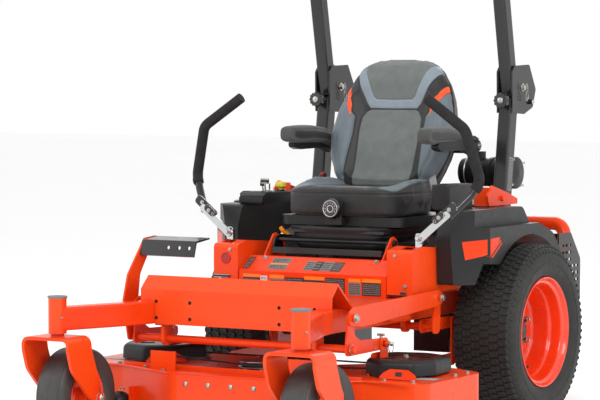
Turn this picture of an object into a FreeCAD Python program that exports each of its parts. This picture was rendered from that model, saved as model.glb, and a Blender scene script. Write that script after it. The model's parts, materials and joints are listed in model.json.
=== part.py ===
"""Zero turn mower: parametric assembly.

Axes: X across the machine (+X is the operator's left), front faces -Y, +Z up, ground at z = 0.
Everything is drawn in machine coordinates (centre plane x = 0, rear axle at y = 0) and every
node is then placed so that the origin is the middle of the machine's footprint on the ground.
"""
import FreeCAD, Part
import Sketcher
import math
import os
import re

V = FreeCAD.Vector
AXES = {"X": V(1, 0, 0), "Y": V(0, 1, 0), "Z": V(0, 0, 1)}

DIMS = {
    # row origin, in machine coordinates
    "origin_x": -50, "origin_y": -338,
    # rear wheels
    "axle_z": 285, "tyre_radius": 285, "tyre_width": 216, "wheel_x": 467.5,
    "rim_face_x": 560,
    # front casters
    "caster_x": 421, "caster_y": -1302, "caster_trail": 92, "caster_radius": 147,
    "caster_width": 106, "barrel_radius": 27.5, "barrel_low": 343, "barrel_top": 449,
    "kingpin_radius": 12.5, "fork_half": 86, "fork_top": 336, "fork_plate": 10,
    "caster_axle_radius": 9.5,
    # frame
    "beam_half": 337, "beam_low": 352, "beam_fold": 458, "beam_ridge_z": 497, "sheet": 6,
    "rail_x": 275, "rail_width": 50, "rail_low": 345, "rail_height": 70,
    "arm_width": 55, "arm_height": 70, "accessory_hole": 5.5,
    # operator platform
    "pan_half": 268, "box_in": 272, "box_out": 362, "box_top": 568, "box_low": 432,
    "fender_in": 366, "fender_out": 505, "fender_top": 687, "arch_radius": 313,
    # roll-over bar
    "post_x": 346, "post_width": 46, "post_depth": 54, "hoop_width": 44, "hinge_plate": 6,
    "rops_pin": 8, "rops_pivot_y": 269, "rops_pivot_z": 1020, "hoop_top": 1820,
    # levers
    "lever_tube": 12.7, "grip_radius": 17, "lever_pivot_x": 350, "lever_pivot_y": -447,
    "lever_pivot_z": 500, "swing_z": 606,
    # seat
    "tilt_y": -390, "tilt_z": 580, "tilt_pin": 6,
    # cutting deck
    "deck_top": 213, "deck_low": 88, "deck_sheet": 6, "blade_radius": 203, "blade_z": 104,
    "spindle_x": 405, "spindle_y": -715, "centre_y": -845, "spindle_radius": 12.5,
    # deck lift
    "crank_x": 378, "lift_y": -945, "lift_z": 305, "rear_lift_y": -400, "rear_lift_z": 325,
    "crank_up": 92, "crank_arm": 205, "lift_shaft": 12, "lift_pin": 6,
    # general
    "running_gap": 0.05,
}

doc = FreeCAD.newDocument("zero_turn_mower")
sheet = doc.addObject("Spreadsheet::Sheet", "dims")
for row, (alias, number) in enumerate(DIMS.items(), start=1):
    sheet.set("A%d" % row, alias)
    sheet.set("B%d" % row, str(number))
    sheet.setAlias("B%d" % row, alias)
doc.recompute()


class Values:
    """Reads one cell of the sheet: D.axle_z is the number in the cell named axle_z."""

    def __getattr__(self, alias):
        return float(sheet.get(alias))


D = Values()
NODES = []


# ---------------------------------------------------------------- helpers

def formula(text):
    """Turn cell names in a formula into references to the sheet."""
    return re.sub(r"[a-z]\w*", lambda word: "dims." + word.group(0), text)


def bind(obj, prop, value):
    """Set a property from a number, or bind it to a formula of sheet cells."""
    if isinstance(value, str):
        obj.setExpression(prop, formula(value))
    elif prop.startswith("Placement.Base."):
        base = obj.Placement.Base
        setattr(base, prop[-1], value)
        obj.Placement.Base = base
    else:
        setattr(obj, prop, value)


def locate(obj, x, y, z):
    for letter, value in zip("xyz", (x, y, z)):
        bind(obj, "Placement.Base." + letter, value)
    return obj


def box(x, y, z, length, width, height):
    """A block from its low corner; every size may be a formula."""
    block = doc.addObject("Part::Box", "block")
    for prop, value in zip(("Length", "Width", "Height"), (length, width, height)):
        bind(block, prop, value)
    return locate(block, x, y, z)


def rod(axis, x, y, z, radius, length):
    """A cylinder along a row axis from its low end."""
    cylinder = doc.addObject("Part::Cylinder", "rod")
    bind(cylinder, "Radius", radius)
    bind(cylinder, "Height", length)
    cylinder.Placement.Rotation = FreeCAD.Rotation(V(0, 0, 1), AXES[axis])
    return locate(cylinder, x, y, z)


def fuse(*parts):
    joined = doc.addObject("Part::MultiFuse", "fuse")
    joined.Shapes = list(parts)
    joined.Refine = True
    return joined


def cut(base, *tools):
    removed = tools[0] if len(tools) == 1 else fuse(*tools)
    result = doc.addObject("Part::Cut", "cut")
    result.Base = base
    result.Tool = removed
    return result


def group(*parts):
    """Separate solids of one node."""
    together = doc.addObject("Part::Compound", "group")
    together.Links = list(parts)
    return together


def mirror(part):
    twin = doc.addObject("Part::Mirroring", "mirror")
    twin.Source = part
    twin.Normal = V(1, 0, 0)
    return twin


def both(part):
    """A part of the left side together with its mirror image on the right side."""
    return group(part, mirror(part))


def turned(part, angle, axis, centre):
    """Turn a part about an axis through a centre."""
    part.Placement = FreeCAD.Placement(V(), FreeCAD.Rotation(AXES[axis], angle), centre)
    return part


def outline_edges(points):
    """Edges of a closed outline. A point is (a, b) or, for a rounded corner, (a, b, radius)."""
    corners = [V(p[0], p[1], 0) for p in points]
    radii = [p[2] if len(p) > 2 else 0 for p in points]
    starts, ends, arcs = [], [], []
    for i, corner in enumerate(corners):
        before = (corners[i - 1] - corner).normalize()
        after = (corners[(i + 1) % len(corners)] - corner).normalize()
        half = before.getAngle(after) / 2
        reach = radii[i] / math.tan(half)
        ends.append(corner + before * reach)
        starts.append(corner + after * reach)
        if radii[i]:
            inner = (before + after).normalize()
            middle = corner + inner * (radii[i] / math.sin(half) - radii[i])
            arcs.append(Part.Arc(ends[i], middle, starts[i]))
        else:
            arcs.append(None)
    edges = []
    for i in range(len(corners)):
        if arcs[i]:
            edges.append(arcs[i])
        following = (i + 1) % len(corners)
        if starts[i].distanceToPoint(ends[following]) > 1e-6:
            edges.append(Part.LineSegment(starts[i], ends[following]))
    return edges


PLANE_ROLES = {"X": "YZ_Plane", "Y": "XZ_Plane", "Z": "XY_Plane"}


def origin_plane(body, axis):
    for feature in body.Origin.OriginFeatures:
        if feature.Role == PLANE_ROLES[axis]:
            return feature
    raise RuntimeError("no origin plane")


def draw(body, axis, outlines, start=0):
    """A sketch square to a row axis, on its own body's origin plane, start away from it."""
    sketch = body.newObject("Sketcher::SketchObject", "outline")
    sketch.AttachmentSupport = (origin_plane(body, axis), [""])
    sketch.MapMode = "FlatFace"
    if isinstance(start, str):
        sign = "-(%s)" if axis == "Y" else "%s"
        sketch.setExpression("AttachmentOffset.Base.z", formula(sign % start))
    else:
        offset = -start if axis == "Y" else start
        sketch.AttachmentOffset = FreeCAD.Placement(V(0, 0, offset), FreeCAD.Rotation())
    for points in outlines:
        sketch.addGeometry(outline_edges(points), False)
    return sketch


def plate(axis, outline, start, thickness, holes=(), windows=()):
    """A plate square to an axis, with round holes (a, b, radius) and cut-out windows."""
    body = doc.addObject("PartDesign::Body", "plate")
    pad = body.newObject("PartDesign::Pad", "pad")
    pad.Profile = draw(body, axis, [outline], start)
    pad.Reversed = axis == "Y"
    bind(pad, "Length", thickness)
    if holes or windows:
        sketch = draw(body, axis, windows, start)
        for a, b, radius in holes:
            sketch.addGeometry(Part.Circle(V(a, b, 0), V(0, 0, 1), 5), False)
            number = len(sketch.Geometry) - 1
            bound = sketch.addConstraint(radius_constraint(number, radius))
            if isinstance(radius, str):
                sketch.setExpression("Constraints[%d]" % bound, formula(radius))
        pocket = body.newObject("PartDesign::Pocket", "openings")
        pocket.Profile = sketch
        pocket.Type = "ThroughAll"
        pocket.Midplane = True
    return body


def radius_constraint(number, radius):
    return Sketcher.Constraint("Radius", number, 5 if isinstance(radius, str) else radius)


def lathe(axis, outline, angle=360):
    """A body turned about a row axis; the outline's points are (along the axis, radius)."""
    body = doc.addObject("PartDesign::Body", "lathe")
    turn = body.newObject("PartDesign::Revolution", "turn")
    if axis == "X":
        sketch = draw(body, "Z", [outline])
        turn.ReferenceAxis = (sketch, ["H_Axis"])
    else:
        sketch = draw(body, "Y", [[(p[1], p[0]) + tuple(p[2:]) for p in outline]])
        turn.ReferenceAxis = (sketch, ["V_Axis"])
    turn.Profile = sketch
    turn.Angle = angle
    return body


def rounded_path(points, bend):
    """A wire through the points whose inner corners are arcs of the bend radius."""
    edges = []
    start = points[0]
    for before, corner, after in zip(points, points[1:], points[2:]):
        back = (before - corner).normalize()
        ahead = (after - corner).normalize()
        half = back.getAngle(ahead) / 2
        reach = bend / math.tan(half)
        middle = corner + (back + ahead).normalize() * (bend / math.sin(half) - bend)
        edges.append(Part.makeLine(start, corner + back * reach))
        edges.append(Part.Arc(corner + back * reach, middle, corner + ahead * reach).toShape())
        start = corner + ahead * reach
    edges.append(Part.makeLine(start, points[-1]))
    return Part.Wire(edges)


def bar(points, bend, section):
    """A bar of the section (a closed wire round the origin in XY) along a rounded path."""
    path = rounded_path([V(*p) for p in points], bend)
    profile = section.copy()
    along = path.OrderedEdges[0].tangentAt(path.OrderedEdges[0].FirstParameter)
    side = V(1, 0, 0) if abs(along.x) < 0.7 else V(0, 1, 0)
    across = (side - along * side.dot(along)).normalize()
    turn = FreeCAD.Rotation(across, along.cross(across), along, "ZXY")
    profile.Placement = FreeCAD.Placement(V(*points[0]), turn)
    solid = path.makePipeShell([profile], True, False)
    return solid


def round_section(radius):
    return Part.Wire(Part.Circle(V(), V(0, 0, 1), radius).toShape())


def box_section(width, depth, corner=6):
    a, b = width / 2, depth / 2
    corners = [(-a, -b, corner), (a, -b, corner), (a, b, corner), (-a, b, corner)]
    return Part.Wire([edge.toShape() for edge in outline_edges(corners)])


def solid_feature(shape):
    feature = doc.addObject("Part::Feature", "solid")
    feature.Shape = shape
    return feature


def loft(axis, stations):
    """A solid through rounded outlines; each station is (place along the axis, outline)."""
    rings = []
    for place, outline in stations:
        wire = Part.Wire([edge.toShape() for edge in outline_edges(outline)])
        if axis == "Z":
            wire.Placement = FreeCAD.Placement(V(0, 0, place), FreeCAD.Rotation())
        elif axis == "X":
            wire.Placement = FreeCAD.Placement(V(place, 0, 0), FreeCAD.Rotation(V(1, 1, 1), 120))
        else:
            wire.Placement = FreeCAD.Placement(V(0, place, 0), FreeCAD.Rotation(V(1, 0, 0), 90))
        rings.append(wire)
    return solid_feature(Part.makeLoft(rings, True, False))


def node(label, part):
    """Name a finished sub-part and move it from machine to row coordinates."""
    part.Label = label
    base = part.Placement.Base
    part.setExpression("Placement.Base.x", "%g - dims.origin_x" % base.x)
    part.setExpression("Placement.Base.y", "%g - dims.origin_y" % base.y)
    NODES.append(part)
    return part


def pair(name, part):
    """The left piece and its mirror image on the right, as two nodes."""
    node(name + "_left", group(part))
    node(name + "_right", mirror(part))


# ---------------------------------------------------------------- frame

def frame_rails():
    rail = box("rail_x - rail_width/2", -962, "rail_low", "rail_width", 1502, "rail_height")
    axle_plate = plate("X", [(-96, 205), (118, 205, 15), (118, 420), (-96, 420)], 300, 8,
                       holes=[(0, D.axle_z, 46)])
    outrigger = box(300, -600, "rail_low + 12", 28, 120, 46)
    bearings = [plate("X", [(y - 24, D.rail_low), (y - 24, z - 20, 18), (y + 24, z - 20, 18),
                            (y + 24, D.rail_low)], 262, 12,
                      holes=[(y, z, "lift_shaft + running_gap")])
                for y, z in ((D.lift_y, D.lift_z), (D.rear_lift_y, D.rear_lift_z))]
    sides = [rail, axle_plate, outrigger, *bearings]
    sides += [mirror(part) for part in sides]
    inside = "rail_x - rail_width/2"
    cross = [box("-(" + inside + ")", y, "rail_low + 6", "2*(" + inside + ")", 50, 50)
             for y in (-560, -150, 150, 470)]
    tank_shelf = box(-240, -330, "rail_low + 56", 480, 420, 5)
    return group(*sides, *cross, tank_shelf)


def front_beam():
    half, low, fold = D.beam_half, D.beam_low, D.beam_fold
    profile = [(-985, low), (-979, low), (-979, fold - 3), (-945, D.beam_ridge_z - 7),
               (-866, 420), (-861, 423), (-943, D.beam_ridge_z), (-985, fold)]
    sheet_body = plate("X", profile, "-beam_half", "2*beam_half")
    pin_holes = [rod("Y", x, -1000, z, "accessory_hole", 40)
                 for x in (-280, -158, 158, 280) for z in (421, 371)]
    end = plate("X", [(-979, low), (-867, low), (-867, 419), (-946, 487), (-979, 453)],
                half - 80, 6)
    cut_sheet = cut(sheet_body, *pin_holes)
    return fuse(cut_sheet, end, mirror(end))


def caster_arm():
    section = box_section(D.arm_width, D.arm_height)
    height = D.beam_low + D.arm_height / 2
    path = [(312, -985, height), (330, -1070, height), (D.caster_x, D.caster_y, height)]
    arm = solid_feature(bar(path, 60, section))
    barrel = rod("Z", "caster_x", "caster_y", "barrel_low", "barrel_radius",
                 "barrel_top - barrel_low")
    cap = rod("Z", "caster_x", "caster_y", "barrel_top", "barrel_radius + 1", 5)
    bore = rod("Z", "caster_x", "caster_y", "barrel_low - 10", "kingpin_radius + running_gap",
               "barrel_top - barrel_low + 4")
    return group(cut(fuse(arm, barrel), bore), cap)


def tilt_ear():
    """Upright ear on the floor panel that the seat platform tilts on."""
    return plate("X", [(-460, 529), (-350, 529), (-366, 590, 8), (-384, 602, 10),
                       (-402, 598, 8)], 214, 5,
                 holes=[(D.tilt_y, D.tilt_z, "tilt_pin + running_gap")])


def floor_pan():
    half, t = D.pan_half, 4
    foot = box("-beam_half + 8", -858, "rail_low + rail_height + 1", "2*beam_half - 16", 333, t)
    riser = plate("X", [(-527, 417), (-523, 417), (-523, 484), (-460, 527), (-441, 527),
                        (-441, 531), (-461, 531), (-527, 487)], -half, 2 * half)
    lug = plate("X", [(-470, 500), (-430, 500), (-430, 531), (-470, 531)], half - 60, 6)
    slots = [box(x, -700, 410, 60, 18, 20) for x in (-180, -60, 60)]
    ear = tilt_ear()
    return cut(fuse(foot, riser, lug, mirror(lug), ear, mirror(ear)), *slots)


def lever_box():
    low, top = D.box_low, D.box_top
    side = [(-530, low), (-232, low), (-232, top - 6, 10), (-470, top + 12, 20), (-530, top, 14)]
    shell = plate("X", side, "box_in", "box_out - box_in")
    inside = [(-526, low - 5), (-237, low - 5), (-237, top - 11, 8), (-470, top + 7, 18),
              (-526, top - 5, 12)]
    hollow = plate("X", inside, "box_in + 4", "box_out - box_in - 8")
    slot = box("lever_pivot_x - 42", "lever_pivot_y - 62", top - 20, 40, 124, 60)
    outer_slot = box("lever_pivot_x - 22", "lever_pivot_y - 40", top - 20, 31, 80, 60)
    return cut(shell, hollow, slot, outer_slot)


def fender():
    """Moulded side pod that arches over the rear tyre."""
    top = D.fender_top
    side = [(-372, 455, 6), (-320, 455), (-300, 520), (20, 500), (232, 515, 6),
            (240, 530, 6), (175, 596, 50), (70, 632, 40), (20, top, 40), (-350, top, 30),
            (-380, 610, 60)]
    pod = plate("X", side, "fender_in", "fender_out - fender_in")
    arch = rod("X", 300, 0, "axle_z", "arch_radius", 300)
    upper_step = box(470, -420, 632, 100, 720, 100)
    post_slot = box("fender_in - 6", 46, 400, "post_x + post_width/2 + 4 - fender_in + 6", 110, 300)
    corner = plate("Z", [(395, -400), (520, -400), (520, -268)], 400, 400)
    return cut(pod, arch, upper_step, corner, post_slot)


def control_console():
    """Control panel standing on the right-hand pod."""
    panel = plate("X", [(-330, D.fender_top + 1), (-96, D.fender_top + 1), (-96, 718, 12),
                        (-300, 726, 20), (-330, 712, 8)], -394, 92)
    return panel


def engine_block():
    crankcase = rod("Z", 0, 375, 425, 128, 150)
    base = box(-150, 235, "rail_low + rail_height", 300, 280, 22)
    cylinder = box(60, 300, 470, 150, 110, 95)
    fins = [box(70 + 18 * i, 288, 460, 8, 134, 115) for i in range(7)]
    bank = [cylinder] + fins
    turned_bank = turned(fuse(*bank), 32, "Z", V(58, -10, 0))
    return fuse(crankcase, base, turned_bank, mirror(turned_bank))


def engine_shroud():
    outline = [(0.0, 0.0), (0.0, 150), (40, 186, 18), (92, 186, 14), (104, 150, 8), (104, 0)]
    housing = lathe("Z", outline)
    locate(housing, 0, 375, 577)
    slots = [turned(box(60, -4, -5, 95, 8, 30), 30 * i, "Z", V(0, 375, 677)) for i in range(12)]
    return cut(housing, *slots)


def air_cleaner():
    x, y, z = 100, 320, 781
    canister = lathe("X", [(0, 0), (0, 47, 8), (176, 49, 6), (182, 54), (204, 54, 6), (212, 0)])
    locate(canister, x, y, z)
    bands = [rod("X", x + along, y, z, 52, 12) for along in (40, 110)]
    inlet = rod("Z", x + 60, y, z + 20, 24, 50)
    bracket = box(x + 50, y - 12, 681, 14, 24, 60)
    return fuse(canister, *bands, inlet, bracket)


def transaxles():
    case = box(120, -70, 208, 130, 150, 125)
    snout = rod("X", 250, 0, "axle_z", 42, 128)
    flange = fuse(rod("X", 378, 0, "axle_z", 58, 27), rod("X", 404, 0, "axle_z", 44, 20))
    pulley = lathe("Z", [(0, 0), (0, 62), (5, 62), (14, 48), (23, 62), (28, 62), (28, 0)])
    locate(pulley, 185, 5, 335)
    return both(fuse(case, snout, flange, pulley))


# ---------------------------------------------------------------- rear end

def rear_bumper():
    tube = solid_feature(bar([(352, 480, 392), (352, 560, 440), (352, 600, 597),
                              (-352, 600, 597), (-352, 560, 440), (-352, 480, 392)],
                             44, round_section(23)))
    lug = box("rail_x + rail_width/2", 462, 375, 70, 34, 36)
    return group(fuse(tube, lug, mirror(lug)), hitch_plate())


def rear_guard():
    """Perforated guard wrapped round the back of the engine."""
    side = [(452, 330), (625, 330, 20), (625, 480, 20), (548, 572, 14), (452, 572)]
    slots = []
    for row in range(8):
        for column in range(5 if row < 5 else 3):
            y, z = 476 + 28 * column, 356 + 24 * row
            slots.append([(y, z), (y + 18, z), (y + 18, z + 9), (y, z + 9)])
    cheek = plate("X", side, 392, 5, windows=slots)
    back_slots = []
    for row in range(4):
        for column in range(15):
            x, z = -293 + 40 * column, 448 + 25 * row
            back_slots.append([(x, z), (x + 26, z), (x + 26, z + 10), (x, z + 10)])
    back = plate("Y", [(-325, 430, 10), (325, 430, 10), (325, 560, 10), (-325, 560, 10)], 628, 5,
                 windows=back_slots)
    return group(cheek, mirror(cheek), back)


def hitch_plate():
    return plate("Z", [(-60, 520), (60, 520), (60, 640, 20), (30, 690, 25), (-30, 690, 25),
                       (-60, 640, 20)], 380, 8, holes=[(0, 655, 8)])


# ---------------------------------------------------------------- roll-over bar

def post_axis_y(z):
    """Middle of the lower post in Y; the post leans rearward going up."""
    return 127 + (z - 750) * 0.145


def rops_posts():
    """Fixed lower posts with their hinge plates and pins."""
    x, w, d = D.post_x, D.post_width, D.post_depth
    low, high = 592, 1030
    leg = plate("X", [(49, 420), (149, 420), (149, 560, 20), (124, 720), (70, 720),
                      (49, 560, 20)], x - w / 2 - 12, 12)
    foot = box("rail_x - rail_width/2", 49, 420, "post_x - rail_x", 100, 8)
    section = box_section(w, d, 7)
    post = solid_feature(bar([(x, post_axis_y(low), low), (x, post_axis_y(high), high)], 5,
                             section))
    cheek = [(137, 985), (224, 980, 10), (290, 1002, 14), (312, 1062, 12), (262, 1144, 12),
             (153, 1140, 10), (135, 1120, 10)]
    inner = plate("X", cheek, x - w / 2 - D.hinge_plate, D.hinge_plate)
    outer = plate("X", cheek, x + w / 2, D.hinge_plate)
    pin = rod("X", x - w / 2 - 16, "rops_pivot_y", "rops_pivot_z", "rops_pin", w + 32)
    return both(fuse(post, leg, foot, inner, outer, pin))


def rops_brackets():
    side = [(-66, 755, 6), (-99, 724, 6), (-86, 689, 4), (119, 689, 4), (119, 706, 6),
            (47, 728, 6)]
    cheek = plate("X", side, 396, 7)
    foot = box(345, -84, "fender_top + 2", 55, 70, 7)
    rise = box(345, -84, "fender_top + 2", 55, 6, 60)
    bolt = rod("X", 403, 3, 711, 9, 8)
    return both(fuse(cheek, bolt, foot, rise))


def rops_hoop():
    """Upper hoop: leans forward, folds to the rear about the hinge pins."""
    x, half = D.post_x, D.hoop_width / 2
    foot_z, lean = 1046, -0.2
    foot_y = 174

    def lean_y(z):
        return foot_y + (z - foot_z) * lean
    top = D.hoop_top - half
    points = [(x, lean_y(foot_z), foot_z), (x, lean_y(top), top), (-x, lean_y(top), top),
              (-x, lean_y(foot_z), foot_z)]
    hoop = solid_feature(bar(points, 95, box_section(D.hoop_width, 48, 7)))
    ear_outline = [(157, 1056), (197, 1046), (242, 1004), (277, 994, 10), (299, 1020, 14),
                   (269, 1075, 16), (202, 1130, 10), (157, 1130)]
    ear = plate("X", ear_outline, x - 14, 28,
                holes=[(D.rops_pivot_y, D.rops_pivot_z, "rops_pin + running_gap")])
    return fuse(hoop, ear, mirror(ear))


# ---------------------------------------------------------------- casters and wheels

def caster_fork():
    outer, inner = D.fork_half, D.fork_half - D.fork_plate
    top, y = D.fork_top, D.caster_y
    bridge_outline = [(-outer, 128), (-outer, top, 24), (outer, top, 24), (outer, 128),
                      (inner, 128), (inner, top - D.fork_plate, 14),
                      (-inner, top - D.fork_plate, 14), (-inner, 128)]
    bridge = plate("Y", [(D.caster_x + p[0],) + tuple(p[1:]) for p in bridge_outline],
                   y - 66, 160)
    axle_y = D.caster_y + D.caster_trail
    leg = [(-1366, top + 2), (-1254, top + 2), (-1246, 290, 40), (-1220, 226, 60),
           (-1178, 172, 30), (-1182, 128, 20), (-1218, 121, 24), (-1262, 152, 60),
           (-1346, 236, 60), (-1366, 296, 60)]
    silhouette = plate("X", leg, "caster_x - 95", 190)
    formed = doc.addObject("Part::Common", "fork")
    formed.Base, formed.Tool = bridge, silhouette
    pin = rod("Z", "caster_x", "caster_y", "fork_top - 4", "kingpin_radius",
              "barrel_top - fork_top - 10")
    washer = rod("Z", "caster_x", "caster_y", "fork_top - 2", 20, 8)
    axle = rod("X", "caster_x - fork_half - 12", axle_y, "caster_radius",
               "caster_axle_radius - running_gap", "2*fork_half + 24")
    heads = [rod("X", D.caster_x + side, axle_y, "caster_radius", 14, 10)
             for side in (-outer - 10, outer)]
    return fuse(formed, pin, washer, axle, *heads)


def caster_wheel_at(part):
    return locate(part, "caster_x", "caster_y + caster_trail", "caster_radius")


def caster_tyre():
    half, r = D.caster_width / 2, D.caster_radius
    outline = [(-half + 18, 62), (-half + 18, 71), (-half, 84, 12), (-half + 2, 122, 24),
               (-half + 12, r, 22), (half - 12, r, 22), (half - 2, 122, 24), (half, 84, 12),
               (half - 18, 71), (half - 18, 62)]
    return caster_wheel_at(lathe("X", outline))


def caster_hub():
    half = D.caster_width / 2
    outline = [(-half - 14, D.caster_axle_radius), (-half - 14, 22), (-30, 24), (-8, 40, 6),
               (-half + 20, 48), (-half + 9, 70), (-half + 17, 70), (-half + 24, 61.6),
               (half - 24, 61.6), (half - 17, 70), (half - 9, 70), (half - 20, 48),
               (8, 40, 6), (30, 24), (half + 14, 22), (half + 14, D.caster_axle_radius)]
    return caster_wheel_at(lathe("X", outline))


def rear_wheel_at(part):
    return locate(part, "wheel_x", 0, "axle_z")


def rear_tyre():
    half, r = D.tyre_width / 2, D.tyre_radius
    outline = [(-half + 33, 154), (-half + 26, 170.5), (-half + 8, 180, 10), (-half, 222, 34),
               (-half + 12, 264, 14), (-half + 26, 275, 10), (-40, r), (40, r),
               (half - 26, 275, 10), (half - 12, 264, 14), (half, 222, 34), (half - 8, 180, 10),
               (half - 26, 170.5), (half - 33, 154)]
    return rear_wheel_at(lathe("X", outline))


def rear_rim():
    """Deep-dish rim with its centre disc and five lug nuts."""
    half = D.tyre_width / 2
    face = D.rim_face_x - D.wheel_x
    dish = -62
    outline = [(dish, 48), (dish + 5, 48), (dish + 7, 100, 6), (dish + 22, 126, 6),
               (face - 52, 134, 6), (face - 30, 148, 5), (face - 12, 150, 5), (face - 4, 166, 3),
               (face, 166), (face, 170), (face - 9, 170), (face - 16, 153.4),
               (-half + 26, 153.4), (-half + 14, 170), (-half + 9, 170), (-half + 21, 147),
               (dish - 2, 132), (dish, 100, 6)]
    rim = rear_wheel_at(lathe("X", outline))
    nuts = []
    for i in range(5):
        angle = math.radians(72 * i + 20)
        nut = doc.addObject("Part::Prism", "nut")
        nut.Polygon, nut.Circumradius, nut.Height = 6, 11, 16
        nut.Placement.Rotation = FreeCAD.Rotation(V(0, 1, 0), 90)
        nuts.append(locate(nut, "wheel_x - 57", 70 * math.cos(angle),
                           D.axle_z + 70 * math.sin(angle)))
    return group(rim, *nuts)


# ---------------------------------------------------------------- steering levers

def lever_yoke():
    """Pivoting part of the lever inside its box: the bar that the lever is bolted to."""
    x, y, z = D.lever_pivot_x, D.lever_pivot_y, D.lever_pivot_z
    shaft = rod("X", "box_in + 5", y, z, 9, 80)
    stem = plate("Y", [(x - 24, z - 16, 6), (x, z - 16, 6), (x + 3, 560), (x + 14, D.swing_z + 14, 8),
                       (x - 16, D.swing_z + 14, 8), (x - 16, 560)], y - 12, 10)
    bolt = rod("Y", x - 1, y - 32, "swing_z", 6, 44)
    return fuse(shaft, stem, bolt)


def control_lever():
    """Flat bright plate and the bent tube that carries the grip."""
    x, y, z = D.lever_pivot_x - 1, D.lever_pivot_y, D.swing_z
    blade = plate("Y", [(x - 17, z - 14, 8), (x + 12, z - 18, 8), (474, 668, 8), (462, 704, 8),
                        (440, 706, 8)], y - 18, 5.7, holes=[(x, z, 6 + D.running_gap)])
    tube = solid_feature(bar([(448, y - 8, 672), (497, -403, 737), (520, -382, 781),
                              (478, -404, 942), (398, -399, 1000)], 38,
                             round_section(D.lever_tube)))
    return fuse(blade, tube)


def lever_grip():
    grip = bar([(507, -394, 756), (520, -382, 781), (478, -404, 942), (341, -395, 1036)], 44,
               round_section(D.grip_radius))
    core = bar([(448, D.lever_pivot_y - 8, 672), (497, -403, 737), (520, -382, 781),
                (478, -404, 942), (398, -399, 1000)], 38, round_section(D.lever_tube))
    return solid_feature(grip.cut(core))


# ---------------------------------------------------------------- seat

def seat_platform():
    tray = box(-200, -424, 543, 400, 400, 6)
    front_bar = box(-200, -436, 540, 400, 12, 19)
    pin = rod("X", -226, "tilt_y", "tilt_z", "tilt_pin", 452)
    ear = plate("X", [(-424, 545), (-356, 545), (-370, 586, 8), (-390, 594, 10), (-408, 586, 8)],
                204, 5)
    heads = [rod("X", side, "tilt_y", "tilt_z", 11, 7) for side in (219.5, -226.5)]
    return fuse(tray, front_bar, pin, ear, mirror(ear), *heads)


def seat_bellows():
    """Ribbed rubber boot round the suspension."""
    outline = [(-186, -380, 30), (186, -380, 30), (186, -50, 30), (-186, -50, 30)]
    return plate("Z", outline, 565.5, 40)


def suspension_top():
    slides = [box(x, -370, 614.5, 24, 320, 13.1) for x in (-110, 86)]
    return fuse(box(-178, -380, 606, 356, 332, 8.5), *slides)


def weight_knob():
    """Round knob at the front of the seat that sets the suspension for the driver."""
    face = doc.addObject("Part::Cone", "knob")
    bind(face, "Radius1", 33)
    bind(face, "Radius2", 29)
    bind(face, "Height", 22)
    face.Placement.Rotation = FreeCAD.Rotation(V(0, 0, 1), V(0, -1, 0))
    return locate(face, 0, -390, 685)


def seat_pan():
    outline = [(-228, -352, 40), (228, -352, 40), (236, -40, 60), (150, 40, 40), (-150, 40, 40),
               (-236, -40, 60)]
    knob_plate = plate("X", [(-389.6, 634), (-330, 634), (-330, 656), (-379.5, 656),
                             (-379.5, 706), (-389.6, 706)], -30, 60)
    return fuse(plate("Z", outline, 628, 30), knob_plate)


def seat_cushion():
    """Seat with raised wings at its sides."""
    stations = [(658.3, [(-206, -358, 50), (206, -358, 50), (214, -60, 60), (150, 20, 40),
                         (-150, 20, 40), (-214, -60, 60)]),
                (705, [(-214, -378, 55), (214, -378, 55), (222, -60, 70), (156, 24, 40),
                       (-156, 24, 40), (-222, -60, 70)]),
                (750, [(-200, -350, 60), (200, -350, 60), (214, -60, 70), (150, 10, 40),
                       (-150, 10, 40), (-214, -60, 70)])]
    wing = plate("X", [(-290, 720), (-114, 720), (-114, 776, 20), (-200, 776, 50)], 153, 50)
    return fuse(loft("Z", stations), wing, mirror(wing))


def back_outline(half, front, back):
    return [(-half, front, 35), (half, front, 35), (half, back, 25), (-half, back, 25)]


def seat_back():
    """Padded backrest: front face slopes rearward going up."""
    stations = []
    for z, half in ((757, 160), (850, 220), (920, 228), (1020, 216), (1110, 192), (1178, 150)):
        front = -92 + 0.357 * (z - 790)
        depth = 118 if z < 1100 else 92
        stations.append((z, back_outline(half, front, front + depth)))
    return loft("Z", stations)


def back_shell():
    """Moulded back of the seat with the pins the armrests turn on."""
    stations = []
    for z, half in ((757, 156), (850, 212), (920, 220), (1020, 208), (1110, 180), (1172, 124)):
        front = -90.5 + 0.357 * (z - 790) + (118 if z < 1100 else 92)
        stations.append((z, [(-half, front, 8), (half, front, 8), (half - 14, front + 24, 10),
                             (-half + 14, front + 24, 10)]))
    foot = plate("X", [(40, 628), (62, 628), (62, 700, 10), (60, 800), (48, 800), (37, 757),
                       (40, 700, 10)], -110, 220)
    lug = box(150, 73, 850, 91, 14, 50)
    side = plate("X", [(87, 850), (50, 858, 8), (50, 898, 8), (87, 900)], 235, 6)
    pin = rod("X", 235, 62, 878, 9, 54)
    return fuse(loft("Z", stations), foot, both(fuse(lug, side, pin)))


def armrest():
    """Armrest that tips up about the rod behind the backrest."""
    body_side = [(-262, 905, 14), (-262, 940, 14), (-80, 944, 14), (60, 900, 14), (86, 880, 16),
                 (80, 856, 12), (40, 860, 12), (-60, 900, 20), (-236, 888, 12)]
    arm = plate("X", body_side, 262, 22, holes=[(62, 878, "9 + running_gap")])
    pad = plate("X", [(-264, 900, 16), (-264, 942, 14), (-84, 946, 12), (-84, 902, 12)], 222, 50)
    return fuse(arm, pad)


# ---------------------------------------------------------------- operator controls

def fuel_cap():
    cap = lathe("Z", [(0, 0), (0, 31, 3), (26, 35, 6), (34, 28, 6), (34, 0)])
    return locate(cap, -431, -190, "fender_top + 1")


def throttle_lever():
    stem = rod("Z", 0, 0, -8, 4, 44)
    ball = doc.addObject("Part::Sphere", "knob")
    bind(ball, "Radius", 11)
    locate(ball, 0, 0, 42)
    return locate(fuse(stem, ball), -345, -240, 734)


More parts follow.
